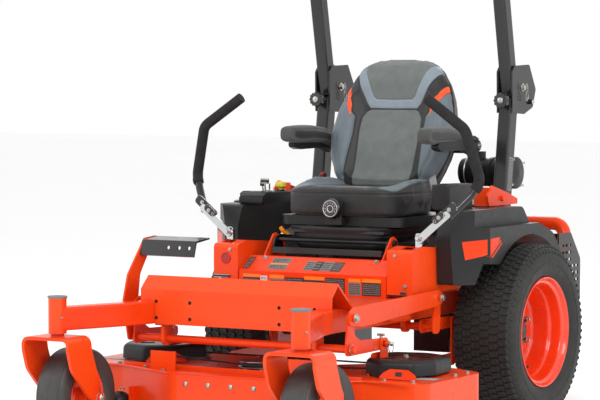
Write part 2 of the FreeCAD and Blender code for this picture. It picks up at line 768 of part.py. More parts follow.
def pto_switch():
    stem = rod("Z", 0, 0, -6, 5, 26)
    button = lathe("Z", [(0, 0), (0, 14, 2), (10, 17, 3), (16, 12, 3), (16, 0)])
    locate(button, 0, 0, 16)
    return locate(fuse(stem, button), -345, -140, 727)


# ---------------------------------------------------------------- cutting deck

def deck_outline(inset):
    side, front, rear = 618 - inset, -1068 + inset, -492 - inset
    return [(-side, -926 + inset, 40), (-430, -948 + inset, 60), (-170, front, 80),
            (170, front, 80), (430, -948 + inset, 60), (side, -926 + inset, 40),
            (side, -560 - inset, 60), (480, rear, 90), (240, rear, 60), (110, -618 - inset, 60),
            (-110, -618 - inset, 60), (-240, rear, 60), (-480, rear, 90), (-side, -560 - inset, 60)]


def spindle_places():
    return ((D.spindle_x, D.spindle_y), (0, D.centre_y), (-D.spindle_x, D.spindle_y))


def deck_shell():
    """Open-bottomed stamped shell with a side discharge on the right."""
    outer = plate("Z", deck_outline(0), "deck_low", "deck_top - deck_low")
    inner = plate("Z", deck_outline(D.deck_sheet), "deck_low - 10",
                  "deck_top - deck_low - deck_sheet + 10")
    discharge = box(-640, -872, 80, 90, 290, 108)
    shafts = [rod("Z", x, y, "deck_top - 20", 47, 40) for x, y in spindle_places()]
    shell = cut(outer, inner, discharge, *shafts)
    lip = box(-420, -955, "deck_top - 1", 840, 4, 14)
    front_lug = plate("X", [(-813, 210), (-797, 210), (-797, 247), (-718, 247, 8),
                            (-718, 279, 10), (-790, 279, 14)], 362, 6)
    front_pin = rod("X", 362, "lift_y + crank_arm", 263, "lift_pin", 25)
    rear_arm = plate("X", [(-560, 206), (-470, 184), (-176, 184, 12), (-176, 224, 12),
                           (-480, 219)], 322, 6)
    rear_pin = rod("X", 322, "rear_lift_y + crank_arm", 205, "lift_pin", 24)
    upright = box(200, -1002, "deck_top - 1", 90, 5, 60)
    roller_fork = box(361, -1010, 96, 5, 74, 60)
    pin = rod("X", 359, -1008, 100, 8, 80)
    extras = [front_lug, front_pin, rear_arm, rear_pin, upright, roller_fork, pin]
    extras += [mirror(part) for part in extras]
    return fuse(shell, lip, *extras)


def spindle_housings():
    housings = []
    for x, y in spindle_places():
        tower = rod("Z", x, y, "deck_top - 62", 42, 62)
        flange = rod("Z", x, y, "deck_top + 0.2", 62, 6)
        bore = rod("Z", x, y, "deck_top - 80", "spindle_radius + running_gap", 110)
        housings.append(cut(fuse(tower, flange), bore))
    return group(*housings)


def blade(x, y, angle):
    """Blade, spindle shaft and pulley, which turn together."""
    r = D.blade_radius - 0.5
    bar_outline = [(-r, -28), (-r + 90, -31), (r - 90, -31, 40), (r, -12), (r, 28),
                   (r - 90, 31), (-r + 90, 31, 40), (-r, 12)]
    steel = plate("Z", bar_outline, 0, 5)
    steel.Placement = FreeCAD.Placement(V(x, y, D.blade_z), FreeCAD.Rotation(V(0, 0, 1), angle))
    shaft = rod("Z", x, y, "blade_z - 12", "spindle_radius", "deck_top - blade_z + 40")
    nut = rod("Z", x, y, "blade_z - 14", 19, 14)
    collar = rod("Z", x, y, "blade_z + 4", 24, 30)
    sheave = lathe("Z", [(0, 0), (0, 60), (3, 60), (10, 50), (17, 60), (20, 60), (20, 0)])
    locate(sheave, x, y, "deck_top + 10")
    return fuse(steel, shaft, nut, collar, sheave)


def belt_covers():
    outline = [(300, -668, 20), (338, -770, 25), (348, -800, 12), (420, -848, 30),
               (520, -820, 30), (556, -740, 30), (540, -600, 40), (440, -560, 40),
               (330, -590, 30)]
    shell = plate("Z", outline, "deck_top + 6.5", 46)
    centre = (430, -700)
    inner = [(centre[0] + (p[0] - centre[0]) * 0.965, centre[1] + (p[1] - centre[1]) * 0.965,
              p[2]) for p in outline]
    hollow = plate("Z", inner, "deck_top", 49)
    lug_gap = box(340, -800, 215, 60, 130, 60)
    belt_gap = box(250, -860, 215, 120, 330, 32)
    return both(cut(shell, hollow, lug_gap, belt_gap))


def deck_belt():
    corners = [V(x, y, 0) for x, y in spindle_places()]
    loop = Part.makePolygon(corners + corners[:1])
    outer = Part.Face(loop.makeOffset2D(60))
    inner = Part.Face(loop.makeOffset2D(54.5))
    belt = outer.cut(inner).extrude(V(0, 0, 5))
    belt.translate(V(0, 0, D.deck_top + 17.5))
    return solid_feature(belt)


def discharge_chute():
    """Deflector hinged above the side discharge."""
    flap = plate("Y", [(-630, 206, 3), (-702, 186, 20), (-718, 108), (-712, 106), (-697, 181, 16),
                       (-629, 200, 3)], -880, 300)
    cheek = plate("Y", [(-629, 203), (-700, 184), (-715, 108), (-640, 112)], -880, 5)
    other = plate("Y", [(-629, 203), (-700, 184), (-715, 108), (-640, 112)], -585, 5)
    hinge = rod("Y", -633, -880, 205, 6, 300)
    return fuse(flap, cheek, other, hinge)


def gauge_rollers():
    roller = lathe("X", [(-32, 8.05), (-32, 22, 6), (-18, 40, 14), (18, 40, 14), (32, 22, 6),
                         (32, 8.05)])
    locate(roller, 402, -1008, 100)
    return both(roller)


# ---------------------------------------------------------------- deck lift

def crank_plate(y, z, up, back, x, thickness):
    """Bell crank: an upright arm for the link bar and a rearward arm for the deck."""
    outline = [(y - 24, z - 20, 16)]
    if back:
        outline += [(y + D.crank_arm - 10, z - 18, 10), (y + D.crank_arm + 16, z - 12, 10),
                    (y + D.crank_arm + 16, z + 16, 10), (y + 60, z + 22, 16)]
    else:
        outline += [(y + 22, z - 20, 16)]
    if up:
        outline += [(y + 26, z + 40, 16), (y + 26, z + D.crank_up + 14, 12),
                    (y - 8, z + D.crank_up + 14, 12), (y - 20, z + 30, 16)]
    else:
        outline += [(y - 20, z + 22, 14)]
    return plate("X", outline, x, thickness)


def lift_bolt(y, z, x, length):
    return fuse(rod("X", x, y, z, "lift_pin", length), rod("X", x + length, y, z, 11, 7))


def front_lift():
    """Front cross shaft with its bell cranks and the foot pedal arm."""
    x, y, z = D.crank_x, D.lift_y, D.lift_z
    shaft = rod("X", -x - 18, y, z, "lift_shaft", 2 * x + 36)
    crank = crank_plate(y, z, True, True, x - 6, 6)
    bolts = [lift_bolt(y + 10, z + D.crank_up, x - 1, 9), lift_bolt(y + D.crank_arm, z, x - 1, 9)]
    side = fuse(crank, *bolts)
    pedal_arm = plate("X", [(y - 26, z - 10, 12), (-1000, 418, 30), (-974, 498, 20), (-882, 606, 8),
                            (-800, 612, 8), (-868, 552, 20), (-909, 496, 30), (-920, 420, 20),
                            (y + 24, z - 10, 12)], -396, 6)
    return fuse(shaft, side, mirror(side), pedal_arm)


def lift_pedal():
    """Foot plate of the deck lift."""
    face = plate("X", [(-912, 556), (-906, 553), (-893, 596, 4), (-820, 604), (-820, 609),
                       (-897, 602, 6)], -389.8, 198)
    holes = [rod("Y", x, -930, 580, 6, 60) for x in (-290, -250, -214)]
    return cut(face, *holes)


def rear_lift():
    x, y, z = D.crank_x, D.rear_lift_y, D.rear_lift_z
    shaft = rod("X", -x + 1, y, z, "lift_shaft", 2 * x - 2)
    up = crank_plate(y, z, True, False, x - 6, 6)
    back = crank_plate(y, z, False, True, 327, 6)
    bolts = [lift_bolt(y + 10, z + D.crank_up, x - 1, 9), lift_bolt(y + D.crank_arm, z, 332, 8)]
    side = fuse(up, back, *bolts)
    return fuse(shaft, side, mirror(side))


def link_bars():
    """Bars that make the rear cranks follow the front ones."""
    fy, fz = D.lift_y + 10, D.lift_z + D.crank_up
    ry, rz = D.rear_lift_y + 10, D.rear_lift_z + D.crank_up
    outline = [(fy - 22, fz - 20, 10), (fy - 22, fz + 20, 12), (fy + 10, fz + 32, 12),
               (ry - 10, rz + 24, 12), (ry + 20, rz + 14, 12), (ry + 20, rz - 18, 12),
               (ry - 30, rz - 26, 12), (fy + 60, fz - 30, 12)]
    web = plate("X", outline, D.crank_x + 0.5, 6,
                holes=[(fy, fz, "lift_pin + running_gap"), (ry, rz, "lift_pin + running_gap")])
    return both(web)


def hanger(y, z, x, pin_z):
    """Strap that hangs the deck on a crank pin, slotted for the pin's sideways arc."""
    outline = [(y - 26, pin_z - 15, 10), (y + 17, pin_z - 15, 10), (y + 17, z + 18, 12),
               (y - 26, z + 18, 12)]
    reach = D.lift_pin + 0.4
    slot = [(y - 16, z - reach - 1), (y + reach, z - reach - 1), (y + reach, z + reach + 1),
            (y - 16, z + reach + 1)]
    return plate("X", outline, x, 5, holes=[(y, pin_z, "lift_pin + running_gap")],
                 windows=[slot])


def deck_hangers():
    front = hanger(D.lift_y + D.crank_arm, D.lift_z, D.crank_x + 0.5, 263)
    rear = hanger(D.rear_lift_y + D.crank_arm, D.rear_lift_z, 333.5, 205)
    return both(group(front, rear))


# ---------------------------------------------------------------- nodes

def build():
    node("frame_rails", frame_rails())
    node("front_beam", front_beam())
    node("caster_arms", both(caster_arm()))
    node("floor_pan", floor_pan())
    node("lever_boxes", both(lever_box()))
    pair("fender", fender())
    node("control_console", control_console())
    node("engine_block", engine_block())
    node("engine_shroud", engine_shroud())
    node("air_cleaner", air_cleaner())
    node("transaxles", transaxles())
    node("rear_bumper", rear_bumper())
    node("rear_guard", rear_guard())
    node("rops_posts", rops_posts())
    node("rops_brackets", rops_brackets())
    node("rops_hoop", rops_hoop())
    pair("caster_fork", caster_fork())
    pair("caster_tyre", caster_tyre())
    pair("caster_hub", caster_hub())
    pair("rear_tyre", rear_tyre())
    pair("rear_rim", rear_rim())
    pair("lever_yoke", lever_yoke())
    pair("control_lever", control_lever())
    pair("lever_grip", lever_grip())
    node("seat_platform", seat_platform())
    node("seat_bellows", seat_bellows())
    node("suspension_top", suspension_top())
    node("weight_knob", weight_knob())
    node("seat_pan", seat_pan())
    node("seat_cushion", seat_cushion())
    node("seat_back", seat_back())
    node("back_shell", back_shell())
    pair("armrest", armrest())
    node("fuel_cap", fuel_cap())
    node("throttle_lever", throttle_lever())
    node("pto_switch", pto_switch())
    node("deck_shell", deck_shell())
    node("spindle_housings", spindle_housings())
    for name, (x, y) in zip(("left", "centre", "right"), spindle_places()):
        node("blade_" + name, blade(x, y, 60))
    node("belt_covers", belt_covers())
    node("deck_belt", deck_belt())
    node("discharge_chute", discharge_chute())
    node("gauge_rollers", gauge_rollers())
    node("front_lift", front_lift())
    node("lift_pedal", lift_pedal())
    node("rear_lift", rear_lift())
    node("link_bars", link_bars())
    node("deck_hangers", deck_hangers())


def check_and_export():
    doc.recompute()
    failed = [obj.Label for obj in doc.Objects if {"Invalid", "Error"} & set(obj.State)]
    if failed:
        raise RuntimeError("failed: " + ", ".join(failed))
    os.makedirs("parts", exist_ok=True)
    for part in NODES:
        shape = part.Shape
        if shape.isNull() or not shape.isValid() or not shape.Solids:
            raise RuntimeError("%s has no valid solid" % part.Label)
        shape.exportStep("parts/%s.step" % part.Label)


build()
check_and_export()
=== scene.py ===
"""Zero turn mower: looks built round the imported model, in metres, in the row frame."""
import json
import math
import random

import bmesh
import bpy
from mathutils import Matrix, Vector
from mathutils.bvhtree import BVHTree


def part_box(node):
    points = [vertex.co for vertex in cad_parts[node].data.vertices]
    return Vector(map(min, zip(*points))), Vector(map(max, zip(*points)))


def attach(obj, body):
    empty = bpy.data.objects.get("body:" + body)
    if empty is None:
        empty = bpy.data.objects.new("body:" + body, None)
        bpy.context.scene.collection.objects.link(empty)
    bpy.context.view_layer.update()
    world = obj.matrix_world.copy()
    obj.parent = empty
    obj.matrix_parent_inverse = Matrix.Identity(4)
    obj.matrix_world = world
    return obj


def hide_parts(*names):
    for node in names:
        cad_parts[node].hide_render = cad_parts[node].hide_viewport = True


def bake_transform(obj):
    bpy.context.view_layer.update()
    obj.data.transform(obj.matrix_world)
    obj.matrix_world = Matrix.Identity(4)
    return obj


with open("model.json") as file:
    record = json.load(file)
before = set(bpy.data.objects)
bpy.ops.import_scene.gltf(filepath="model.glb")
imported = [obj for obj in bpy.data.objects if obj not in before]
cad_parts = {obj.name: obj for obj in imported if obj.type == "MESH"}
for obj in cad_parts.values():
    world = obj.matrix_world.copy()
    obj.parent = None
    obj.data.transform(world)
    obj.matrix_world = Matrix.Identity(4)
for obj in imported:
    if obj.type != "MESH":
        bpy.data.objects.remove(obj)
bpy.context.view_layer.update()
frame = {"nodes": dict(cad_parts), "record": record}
NODES = frame["nodes"]
ORIGIN = Vector((-0.050, -0.338, 0.0))    # row origin in the machine's own coordinates
LEFT_RIGHT = (("left", 1), ("right", -1))


def at(x, y, z):
    """Machine coordinates in millimetres (centre plane x = 0, rear axle y = 0) to the row frame."""
    return Vector((x / 1000, y / 1000, z / 1000)) - ORIGIN


# ---------------------------------------------------------------- camera, light, floor

def camera():
    """View of the machine from its front and left, through a long lens."""
    data = bpy.data.cameras.new("camera")
    data.lens, data.sensor_width = 158.07, 36
    data.clip_end = 60
    cam = bpy.data.objects.new("camera", data)
    cam.location = (4.239, -7.316, 1.1285)
    cam.rotation_euler = (math.radians(90 - 2.843), 0, math.radians(30.694))
    bpy.context.scene.collection.objects.link(cam)
    bpy.context.scene.camera = cam


def area(name, place, target, size, power, color=(1, 1, 1)):
    """Rectangular lamp at place, turned to target."""
    data = bpy.data.lights.new(name, "AREA")
    data.shape, data.size, data.size_y = "RECTANGLE", size[0], size[1]
    data.energy, data.color = power, color
    lamp = bpy.data.objects.new(name, data)
    lamp.location = place
    lamp.rotation_euler = (Vector(target) - Vector(place)).to_track_quat("-Z", "Y").to_euler()
    bpy.context.scene.collection.objects.link(lamp)


def studio():
    """White surroundings and four soft lamps."""
    world = bpy.data.worlds.new("studio")
    world.use_nodes = True
    world.node_tree.nodes["Background"].inputs["Color"].default_value = (1, 1, 1, 1)
    world.node_tree.nodes["Background"].inputs["Strength"].default_value = 1.0
    bpy.context.scene.world = world
    area("key", (2.5, -4.5, 4.2), (0, 0, 0.6), (3.0, 2.2), 150)
    area("fill", (-4.5, -3.5, 2.6), (0, 0, 0.7), (2.6, 2.6), 45)
    area("side", (5.0, 0.5, 2.4), (0, 0, 0.6), (2.2, 2.6), 40)
    area("back", (-1.5, 5.0, 3.4), (0, 0, 0.9), (3.0, 2.0), 60)


camera()
studio()
bpy.context.scene.view_settings.view_transform = "Standard"


# ---------------------------------------------------------------- materials

MATS = {}


def new_material(name):
    """Empty material, kept in MATS by its name."""
    mat = bpy.data.materials.new(name)
    mat.use_nodes = True
    MATS[name] = mat
    return mat, mat.node_tree.nodes, mat.node_tree.links, mat.node_tree.nodes["Principled BSDF"]


def noise(nodes, links, coords, scale, detail=4.0, rough=0.55, stretch=None):
    """Noise factor in object coordinates, optionally stretched per axis."""
    source = coords.outputs["Object"]
    if stretch:
        mapping = nodes.new("ShaderNodeMapping")
        mapping.inputs["Scale"].default_value = stretch
        links.new(source, mapping.inputs["Vector"])
        source = mapping.outputs["Vector"]
    tex = nodes.new("ShaderNodeTexNoise")
    tex.inputs["Scale"].default_value = scale
    tex.inputs["Detail"].default_value = detail
    tex.inputs["Roughness"].default_value = rough
    links.new(source, tex.inputs["Vector"])
    return tex.outputs["Fac"]


def spread(nodes, links, fac, low, high, start=0.3, end=0.7):
    """Map a factor to a range of numbers."""
    node = nodes.new("ShaderNodeMapRange")
    node.inputs["From Min"].default_value = start
    node.inputs["From Max"].default_value = end
    node.inputs["To Min"].default_value = low
    node.inputs["To Max"].default_value = high
    links.new(fac, node.inputs["Value"])
    return node.outputs["Result"]


def blend_colors(nodes, links, fac, first, second):
    """Mix two colours, or two colour outputs, by a factor."""
    node = nodes.new("ShaderNodeMix")
    node.data_type = "RGBA"
    a, b = [s for s in node.inputs if s.type == "RGBA"]
    for socket, value in ((a, first), (b, second)):
        if isinstance(value, tuple):
            socket.default_value = (*value, 1)
        else:
            links.new(value, socket)
    links.new(fac, [s for s in node.inputs if s.name == "Factor" and s.type == "VALUE"][0])
    return [s for s in node.outputs if s.type == "RGBA"][0]


def surface(name, color, other=None, rough=(0.3, 0.4), metal=0.0, coat=0.0, mottle=8, grain=(900, 0.02),
            wear=None, specular=0.5, sheen=0.0, stretch=None):
    """Painted, moulded or metal surface: mottled colour, uneven gloss, fine grain, worn edges."""
    mat, nodes, links, bsdf = new_material(name)
    coords = nodes.new("ShaderNodeTexCoord")
    other = other or tuple(c * 0.82 for c in color)
    tone = blend_colors(nodes, links, spread(nodes, links, noise(nodes, links, coords, mottle), 0, 1),
                        color, other)
    if wear:
        geometry = nodes.new("ShaderNodeNewGeometry")
        edge = spread(nodes, links, geometry.outputs["Pointiness"], 0, wear[1], 0.53, 0.62)
        tone = blend_colors(nodes, links, edge, tone, wear[0])
    links.new(tone, bsdf.inputs["Base Color"])
    links.new(spread(nodes, links, noise(nodes, links, coords, mottle * 5, 6), rough[0], rough[1]),
              bsdf.inputs["Roughness"])
    bump = nodes.new("ShaderNodeBump")
    bump.inputs["Strength"].default_value = grain[1]
    bump.inputs["Distance"].default_value = 0.002
    links.new(noise(nodes, links, coords, grain[0], 3, 0.5, stretch), bump.inputs["Height"])
    links.new(bump.outputs["Normal"], bsdf.inputs["Normal"])
    bsdf.inputs["Metallic"].default_value = metal
    bsdf.inputs["Coat Weight"].default_value = coat
    bsdf.inputs["Coat Roughness"].default_value = 0.08
    bsdf.inputs["Specular IOR Level"].default_value = specular
    bsdf.inputs["Sheen Weight"].default_value = sheen
    return mat


surface("orange_paint", (0.80, 0.046, 0.0024), (0.72, 0.038, 0.002), rough=(0.26, 0.34), coat=0.12,
        grain=(420, 0.05), wear=((0.95, 0.12, 0.02), 0.25), specular=0.22)
surface("black_paint", (0.006, 0.006, 0.007), (0.010, 0.010, 0.011), rough=(0.16, 0.26), coat=0.25,
        grain=(380, 0.06), wear=((0.05, 0.05, 0.05), 0.3), specular=0.35)
surface("black_plastic", (0.007, 0.0075, 0.008), (0.011, 0.012, 0.012), rough=(0.30, 0.42),
        grain=(1300, 0.16), wear=((0.04, 0.04, 0.04), 0.25), specular=0.3)
surface("tyre_rubber", (0.012, 0.012, 0.0115), (0.020, 0.0195, 0.018), rough=(0.50, 0.66), mottle=14,
        grain=(700, 0.12), wear=((0.04, 0.04, 0.038), 0.3), specular=0.35)
surface("chrome", (0.72, 0.72, 0.73), (0.60, 0.60, 0.61), rough=(0.06, 0.14), metal=1.0,
        grain=(500, 0.02))
surface("zinc", (0.52, 0.51, 0.47), (0.40, 0.39, 0.36), rough=(0.25, 0.42), metal=1.0, mottle=30,
        grain=(900, 0.08))
surface("grip_foam", (0.012, 0.012, 0.013), (0.020, 0.020, 0.021), rough=(0.75, 0.9), mottle=60,
        grain=(2600, 0.5), specular=0.3)
surface("bellows_rubber", (0.008, 0.008, 0.009), (0.014, 0.014, 0.014), rough=(0.5, 0.65),
        grain=(1100, 0.2))
surface("engine_metal", (0.30, 0.30, 0.31), (0.20, 0.20, 0.21), rough=(0.45, 0.62), metal=0.9,
        mottle=20, grain=(600, 0.35))
surface("steel", (0.42, 0.42, 0.43), (0.30, 0.30, 0.31), rough=(0.25, 0.4), metal=1.0,
        grain=(260, 0.1), stretch=(1, 12, 1))
surface("belt_rubber", (0.012, 0.012, 0.012), rough=(0.6, 0.75), grain=(1500, 0.3))
surface("seat_fabric", (0.16, 0.18, 0.175), (0.12, 0.135, 0.13), rough=(0.8, 0.92), mottle=40,
        grain=(1500, 0.5), sheen=0.3)
surface("red_plastic", (0.62, 0.012, 0.010), rough=(0.25, 0.35), grain=(900, 0.05))


def paint(obj, name):
    """Give an object one material from MATS."""
    obj.data.materials.clear()
    obj.data.materials.append(MATS[name])
    return obj


for row in frame["record"]["subparts"]:
    paint(NODES[row["node"]], row["material_slot"])
for name in ("caster_fork_left", "caster_fork_right"):
    paint(NODES[name], "orange_paint")


# ---------------------------------------------------------------- mesh building

def frame_at(centre, axis=(0, 0, 1), turn=0.0):
    """Local frame with its Z along axis, turned about it."""
    quat = Vector(axis).to_track_quat("Z", "Y" if abs(axis[1]) < 0.9 else "X")
    return Matrix.Translation(centre) @ quat.to_matrix().to_4x4() @ Matrix.Rotation(turn, 4, "Z")


def smooth_path(points, steps=8):
    """Catmull-Rom line through points."""
    pts = [Vector(p) for p in points]
    pts = [2 * pts[0] - pts[1], *pts, 2 * pts[-1] - pts[-2]]
    out = []
    for a, b, c, d in zip(pts, pts[1:], pts[2:], pts[3:]):
        for i in range(steps):
            t = i / steps
            out.append(0.5 * (2 * b + (c - a) * t + (2 * a - 5 * b + 4 * c - d) * t * t
                              + (3 * b - a - 3 * c + d) * t ** 3))
    return out + [pts[-2]]


def corner(a, p, b, reach, steps):
    """Curve that takes the corner p off the line a - p - b, starting and ending reach away from it."""
    reach = min(reach, (a - p).length * 0.49, (b - p).length * 0.49)
    first, last = p + (a - p).normalized() * reach, p + (b - p).normalized() * reach
    return [(1 - t) ** 2 * first + 2 * t * (1 - t) * p + t * t * last
            for t in (k / steps for k in range(steps + 1))]


def rounded(outline, radius, steps=5):
    """Plane outline with its corners rounded; a point may carry its own radius."""
    out = []
    n = len(outline)
    for i, p in enumerate(outline):
        r = p[2] if len(p) > 2 else radius
        p, a, b = (Vector(q[:2]) for q in (p, outline[i - 1], outline[(i + 1) % n]))
        u, v = (a - p).normalized(), (b - p).normalized()
        half = math.acos(max(-1, min(1, u.dot(v)))) / 2
        if r <= 0 or half > 1.55:
            out.append(p)
            continue
        out += corner(a, p, b, r / math.tan(half), steps)
    return out


class Build:
    """Collects shapes for one piece; each shape has its own material."""

    def __init__(self):
        self.bm = bmesh.new()
        self.mats = []

    def index(self, mat):
        if mat not in self.mats:
            self.mats.append(mat)
        return self.mats.index(mat)

    def add(self, verts, faces, mat):
        made = [self.bm.verts.new(v) for v in verts]
        out = []
        for face in faces:
            try:
                item = self.bm.faces.new([made[i] for i in face])
            except ValueError:
                continue
            item.material_index = self.index(mat)
            out.append(item)
        return out

    def lathe(self, profile, centre, axis, mat, segs=64, start=0.0, sweep=2 * math.pi):
        """profile: (along axis, radius) in metres, outer side of a closed or open line."""
        base = frame_at(centre, axis)
        full = abs(sweep - 2 * math.pi) < 1e-6
        count = segs if full else segs + 1
        verts = []
        for i in range(count):
            turn = start + sweep * i / segs
            c, s = math.cos(turn), math.sin(turn)
            verts += [base @ Vector((r * c, r * s, a)) for a, r in profile]
        n = len(profile)
        faces = []
        for i in range(segs):
            j = (i + 1) % count
            for k in range(n - 1):
                faces.append((i * n + k, j * n + k, j * n + k + 1, i * n + k + 1))
        return self.add(verts, faces, mat)

    def slab(self, outline, low, high, place, mat, bevel=0.0, segs=2):
        """Outline in the local XY plane, raised from low to high."""
        n = len(outline)
        verts = [place @ Vector((p[0], p[1], h)) for h in (low, high) for p in outline]
        faces = [tuple(range(n))[::-1], tuple(range(n, 2 * n))]
        faces += [(i, (i + 1) % n, n + (i + 1) % n, n + i) for i in range(n)]
        made = self.add(verts, faces, mat)
        if bevel:
            edges = [e for e in made[1].edges] + [e for e in made[0].edges]
            bmesh.ops.bevel(self.bm, geom=edges, offset=bevel, segments=segs, profile=0.5,
                            affect="EDGES", clamp_overlap=True)
        return made

    def block(self, centre, size, mat, axis=(0, 0, 1), turn=0.0, bevel=0.0015, corner=0.003):
        x, y, z = (s / 2 for s in size)
        outline = rounded([(-x, -y), (x, -y), (x, y), (-x, y)], min(corner, x * 0.9, y * 0.9), 4)
        return self.slab(outline, -z, z, frame_at(centre, axis, turn), mat, min(bevel, z * 0.8))

    def tube(self, points, radius, mat, sides=16, steps=8, cap=True, flat=1.0):
        """Round or oval bar along a smooth line; radius may be a list, one per given point."""
        path = smooth_path(points, steps) if steps > 1 else [Vector(p) for p in points]
        radii = radius if isinstance(radius, (list, tuple)) else [radius] * len(points)
        count = len(path)
        tangent = (path[1] - path[0]).normalized()
        side = tangent.orthogonal().normalized()
        verts = []
        for i, p in enumerate(path):
            ahead = path[min(i + 1, count - 1)] - path[max(i - 1, 0)]
            new = ahead.normalized()
            side = (side - new * side.dot(new)).normalized()
            up = new.cross(side)
            t = i / (count - 1) * (len(radii) - 1)
            k = min(int(t), len(radii) - 2)
            r = radii[k] + (radii[k + 1] - radii[k]) * (t - k)
            for j in range(sides):
                turn = 2 * math.pi * j / sides
                verts.append(p + side * (r * math.cos(turn)) + up * (r * flat * math.sin(turn)))
        faces = [(i * sides + j, i * sides + (j + 1) % sides, (i + 1) * sides + (j + 1) % sides,
                  (i + 1) * sides + j) for i in range(count - 1) for j in range(sides)]
        if cap:
            faces += [tuple(range(sides))[::-1],
                      tuple(range((count - 1) * sides, count * sides))]
        return self.add(verts, faces, mat)

    def bolt(self, centre, axis, radius, mat="zinc", height=None, washer=True):
        """Hexagon head with a chamfer, on a washer."""
        height = height or radius * 0.75
        axis = Vector(axis).normalized()
        low = Vector(centre)
        if washer:
            w = radius * 1.35
            self.lathe([(0, w), (0.0016, w), (0.002, w - 0.0004), (0.002, 0.0002)], low, axis, mat, 28)
            low = low + axis * 0.002
        base = frame_at(low, axis)
        rings = ((0, 1.0), (height * 0.8, 1.0), (height, 0.86))
        verts = [base @ Vector((radius * s * math.cos(math.pi * i / 3), radius * s
                                * math.sin(math.pi * i / 3), h)) for h, s in rings for i in range(6)]
        faces = [(k * 6 + i, k * 6 + (i + 1) % 6, k * 6 + 6 + (i + 1) % 6, k * 6 + 6 + i)
                 for k in range(2) for i in range(6)]
        faces.append(tuple(range(12, 18)))
        return self.add(verts, faces, mat)

    def done(self, name, body, slot=None, replaces=(), angle=38, merge=True):
        if merge:
            bmesh.ops.remove_doubles(self.bm, verts=self.bm.verts, dist=1e-6)
        bmesh.ops.recalc_face_normals(self.bm, faces=self.bm.faces)
        limit = math.radians(angle)
        for face in self.bm.faces:
            face.smooth = True
        for edge in self.bm.edges:
            edge.smooth = len(edge.link_faces) == 2 and edge.calc_face_angle(9) < limit
        mesh = bpy.data.meshes.new(name)
        self.bm.to_mesh(mesh)
        self.bm.free()
        for mat in self.mats:
            mesh.materials.append(MATS[mat])
        return place_piece(bpy.data.objects.new(name, mesh), body, replaces)


def place_piece(obj, body, replaces=()):
    if obj.name not in bpy.context.scene.collection.objects:
        bpy.context.scene.collection.objects.link(obj)
    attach(obj, body)
    if replaces:
        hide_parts(*replaces)
    return obj


# ---------------------------------------------------------------- wheels

def crown(a):
    """Radius of the rear tyre's carcass under its tread."""
    return 0.2785 - 0.005 * (a / 0.09) ** 2


def rear_tyre(side, sign):
    centre = at(sign * 467.5, 0, 285)
    tyre = Build()
    half = [(0.000, crown(0)), (0.03, crown(0.03)), (0.06, crown(0.06)), (0.086, crown(0.086)),
            (0.096, 0.268), (0.102, 0.258), (0.1065, 0.238), (0.1065, 0.218), (0.102, 0.198),
            (0.094, 0.183), (0.090, 0.1765), (0.0885, 0.1745), (0.084, 0.170), (0.074, 0.156)]
    profile = [(-a, r) for a, r in reversed(half)] + half[1:]
    fine = smooth_path([(a, r, 0) for a, r in profile], 3)
    tyre.lathe([(p.x, p.y) for p in fine], centre, (1, 0, 0), "tyre_rubber", 120)
    tyre.lathe([(0.1068, 0.2235), (0.1080, 0.2225), (0.1080, 0.2205), (0.1068, 0.2195)], centre,
               (sign, 0, 0), "tyre_rubber", 96)
    pitches, columns = 72, 6
    step = 2 * math.pi / pitches
    for column in range(columns):
        a0 = (column - (columns - 1) / 2) * 0.0315
        for i in range(pitches):
            turn = (i + (column % 2) / 2) * step
            lug(tyre, centre, a0, turn, 0.0132, 0.0096, 0.0062)
    for i in range(pitches):
        for s in (-1, 1):
            shoulder_lug(tyre, centre, s, (i + 0.25) * step)
    tyre.done("tread_tyre_" + side, "rear_wheel_" + side, "tyre_rubber", ["rear_tyre_" + side])


def wheel_point(centre, a, r, turn):
    """Point of a wheel: a along the axle, r from it, at an angle from the top."""
    return centre + Vector((a, -r * math.sin(turn), r * math.cos(turn)))


LUG_RING = [(1, 0.45), (0.8, 0.8), (0.45, 1), (-0.45, 1), (-0.8, 0.8), (-1, 0.45),
            (-1, -0.45), (-0.8, -0.8), (-0.45, -1), (0.45, -1), (0.8, -0.8), (1, -0.45)]


def lug(tyre, centre, a0, turn, wide, long, height):
    """Tread block: rounded rectangle with a shallow dished top."""
    verts = []
    for grow, lift in ((1.06, -0.002), (1.0, 0.75), (0.93, 1.0), (0.66, 1.0), (0.58, 0.72)):
        for u, v in LUG_RING:
            a = a0 + u * wide * grow
            r = crown(a) + height * lift
            verts.append(wheel_point(centre, a, r, turn + v * long * grow / r))
    faces = [(k * 12 + i, k * 12 + (i + 1) % 12, k * 12 + 12 + (i + 1) % 12, k * 12 + 12 + i)
             for k in range(4) for i in range(12)]
    faces.append(tuple(range(48, 60)))
    tyre.add(verts, faces, "tyre_rubber")


def shoulder_lug(tyre, centre, s, turn):
    verts = []
    for grow, lift in ((1.0, 0.0), (0.8, 0.0032)):
        for u, v in LUG_RING:
            r = 0.263 + u * 0.0068 * grow
            a = s * (0.0995 - (r - 0.263) * 0.62 + lift)
            verts.append(wheel_point(centre, a, r, turn + v * 0.0055 * grow / r))
    faces = [(i, (i + 1) % 12, 12 + (i + 1) % 12, 12 + i) for i in range(12)]
    faces.append(tuple(range(12, 24)))
    tyre.add(verts, faces, "tyre_rubber")


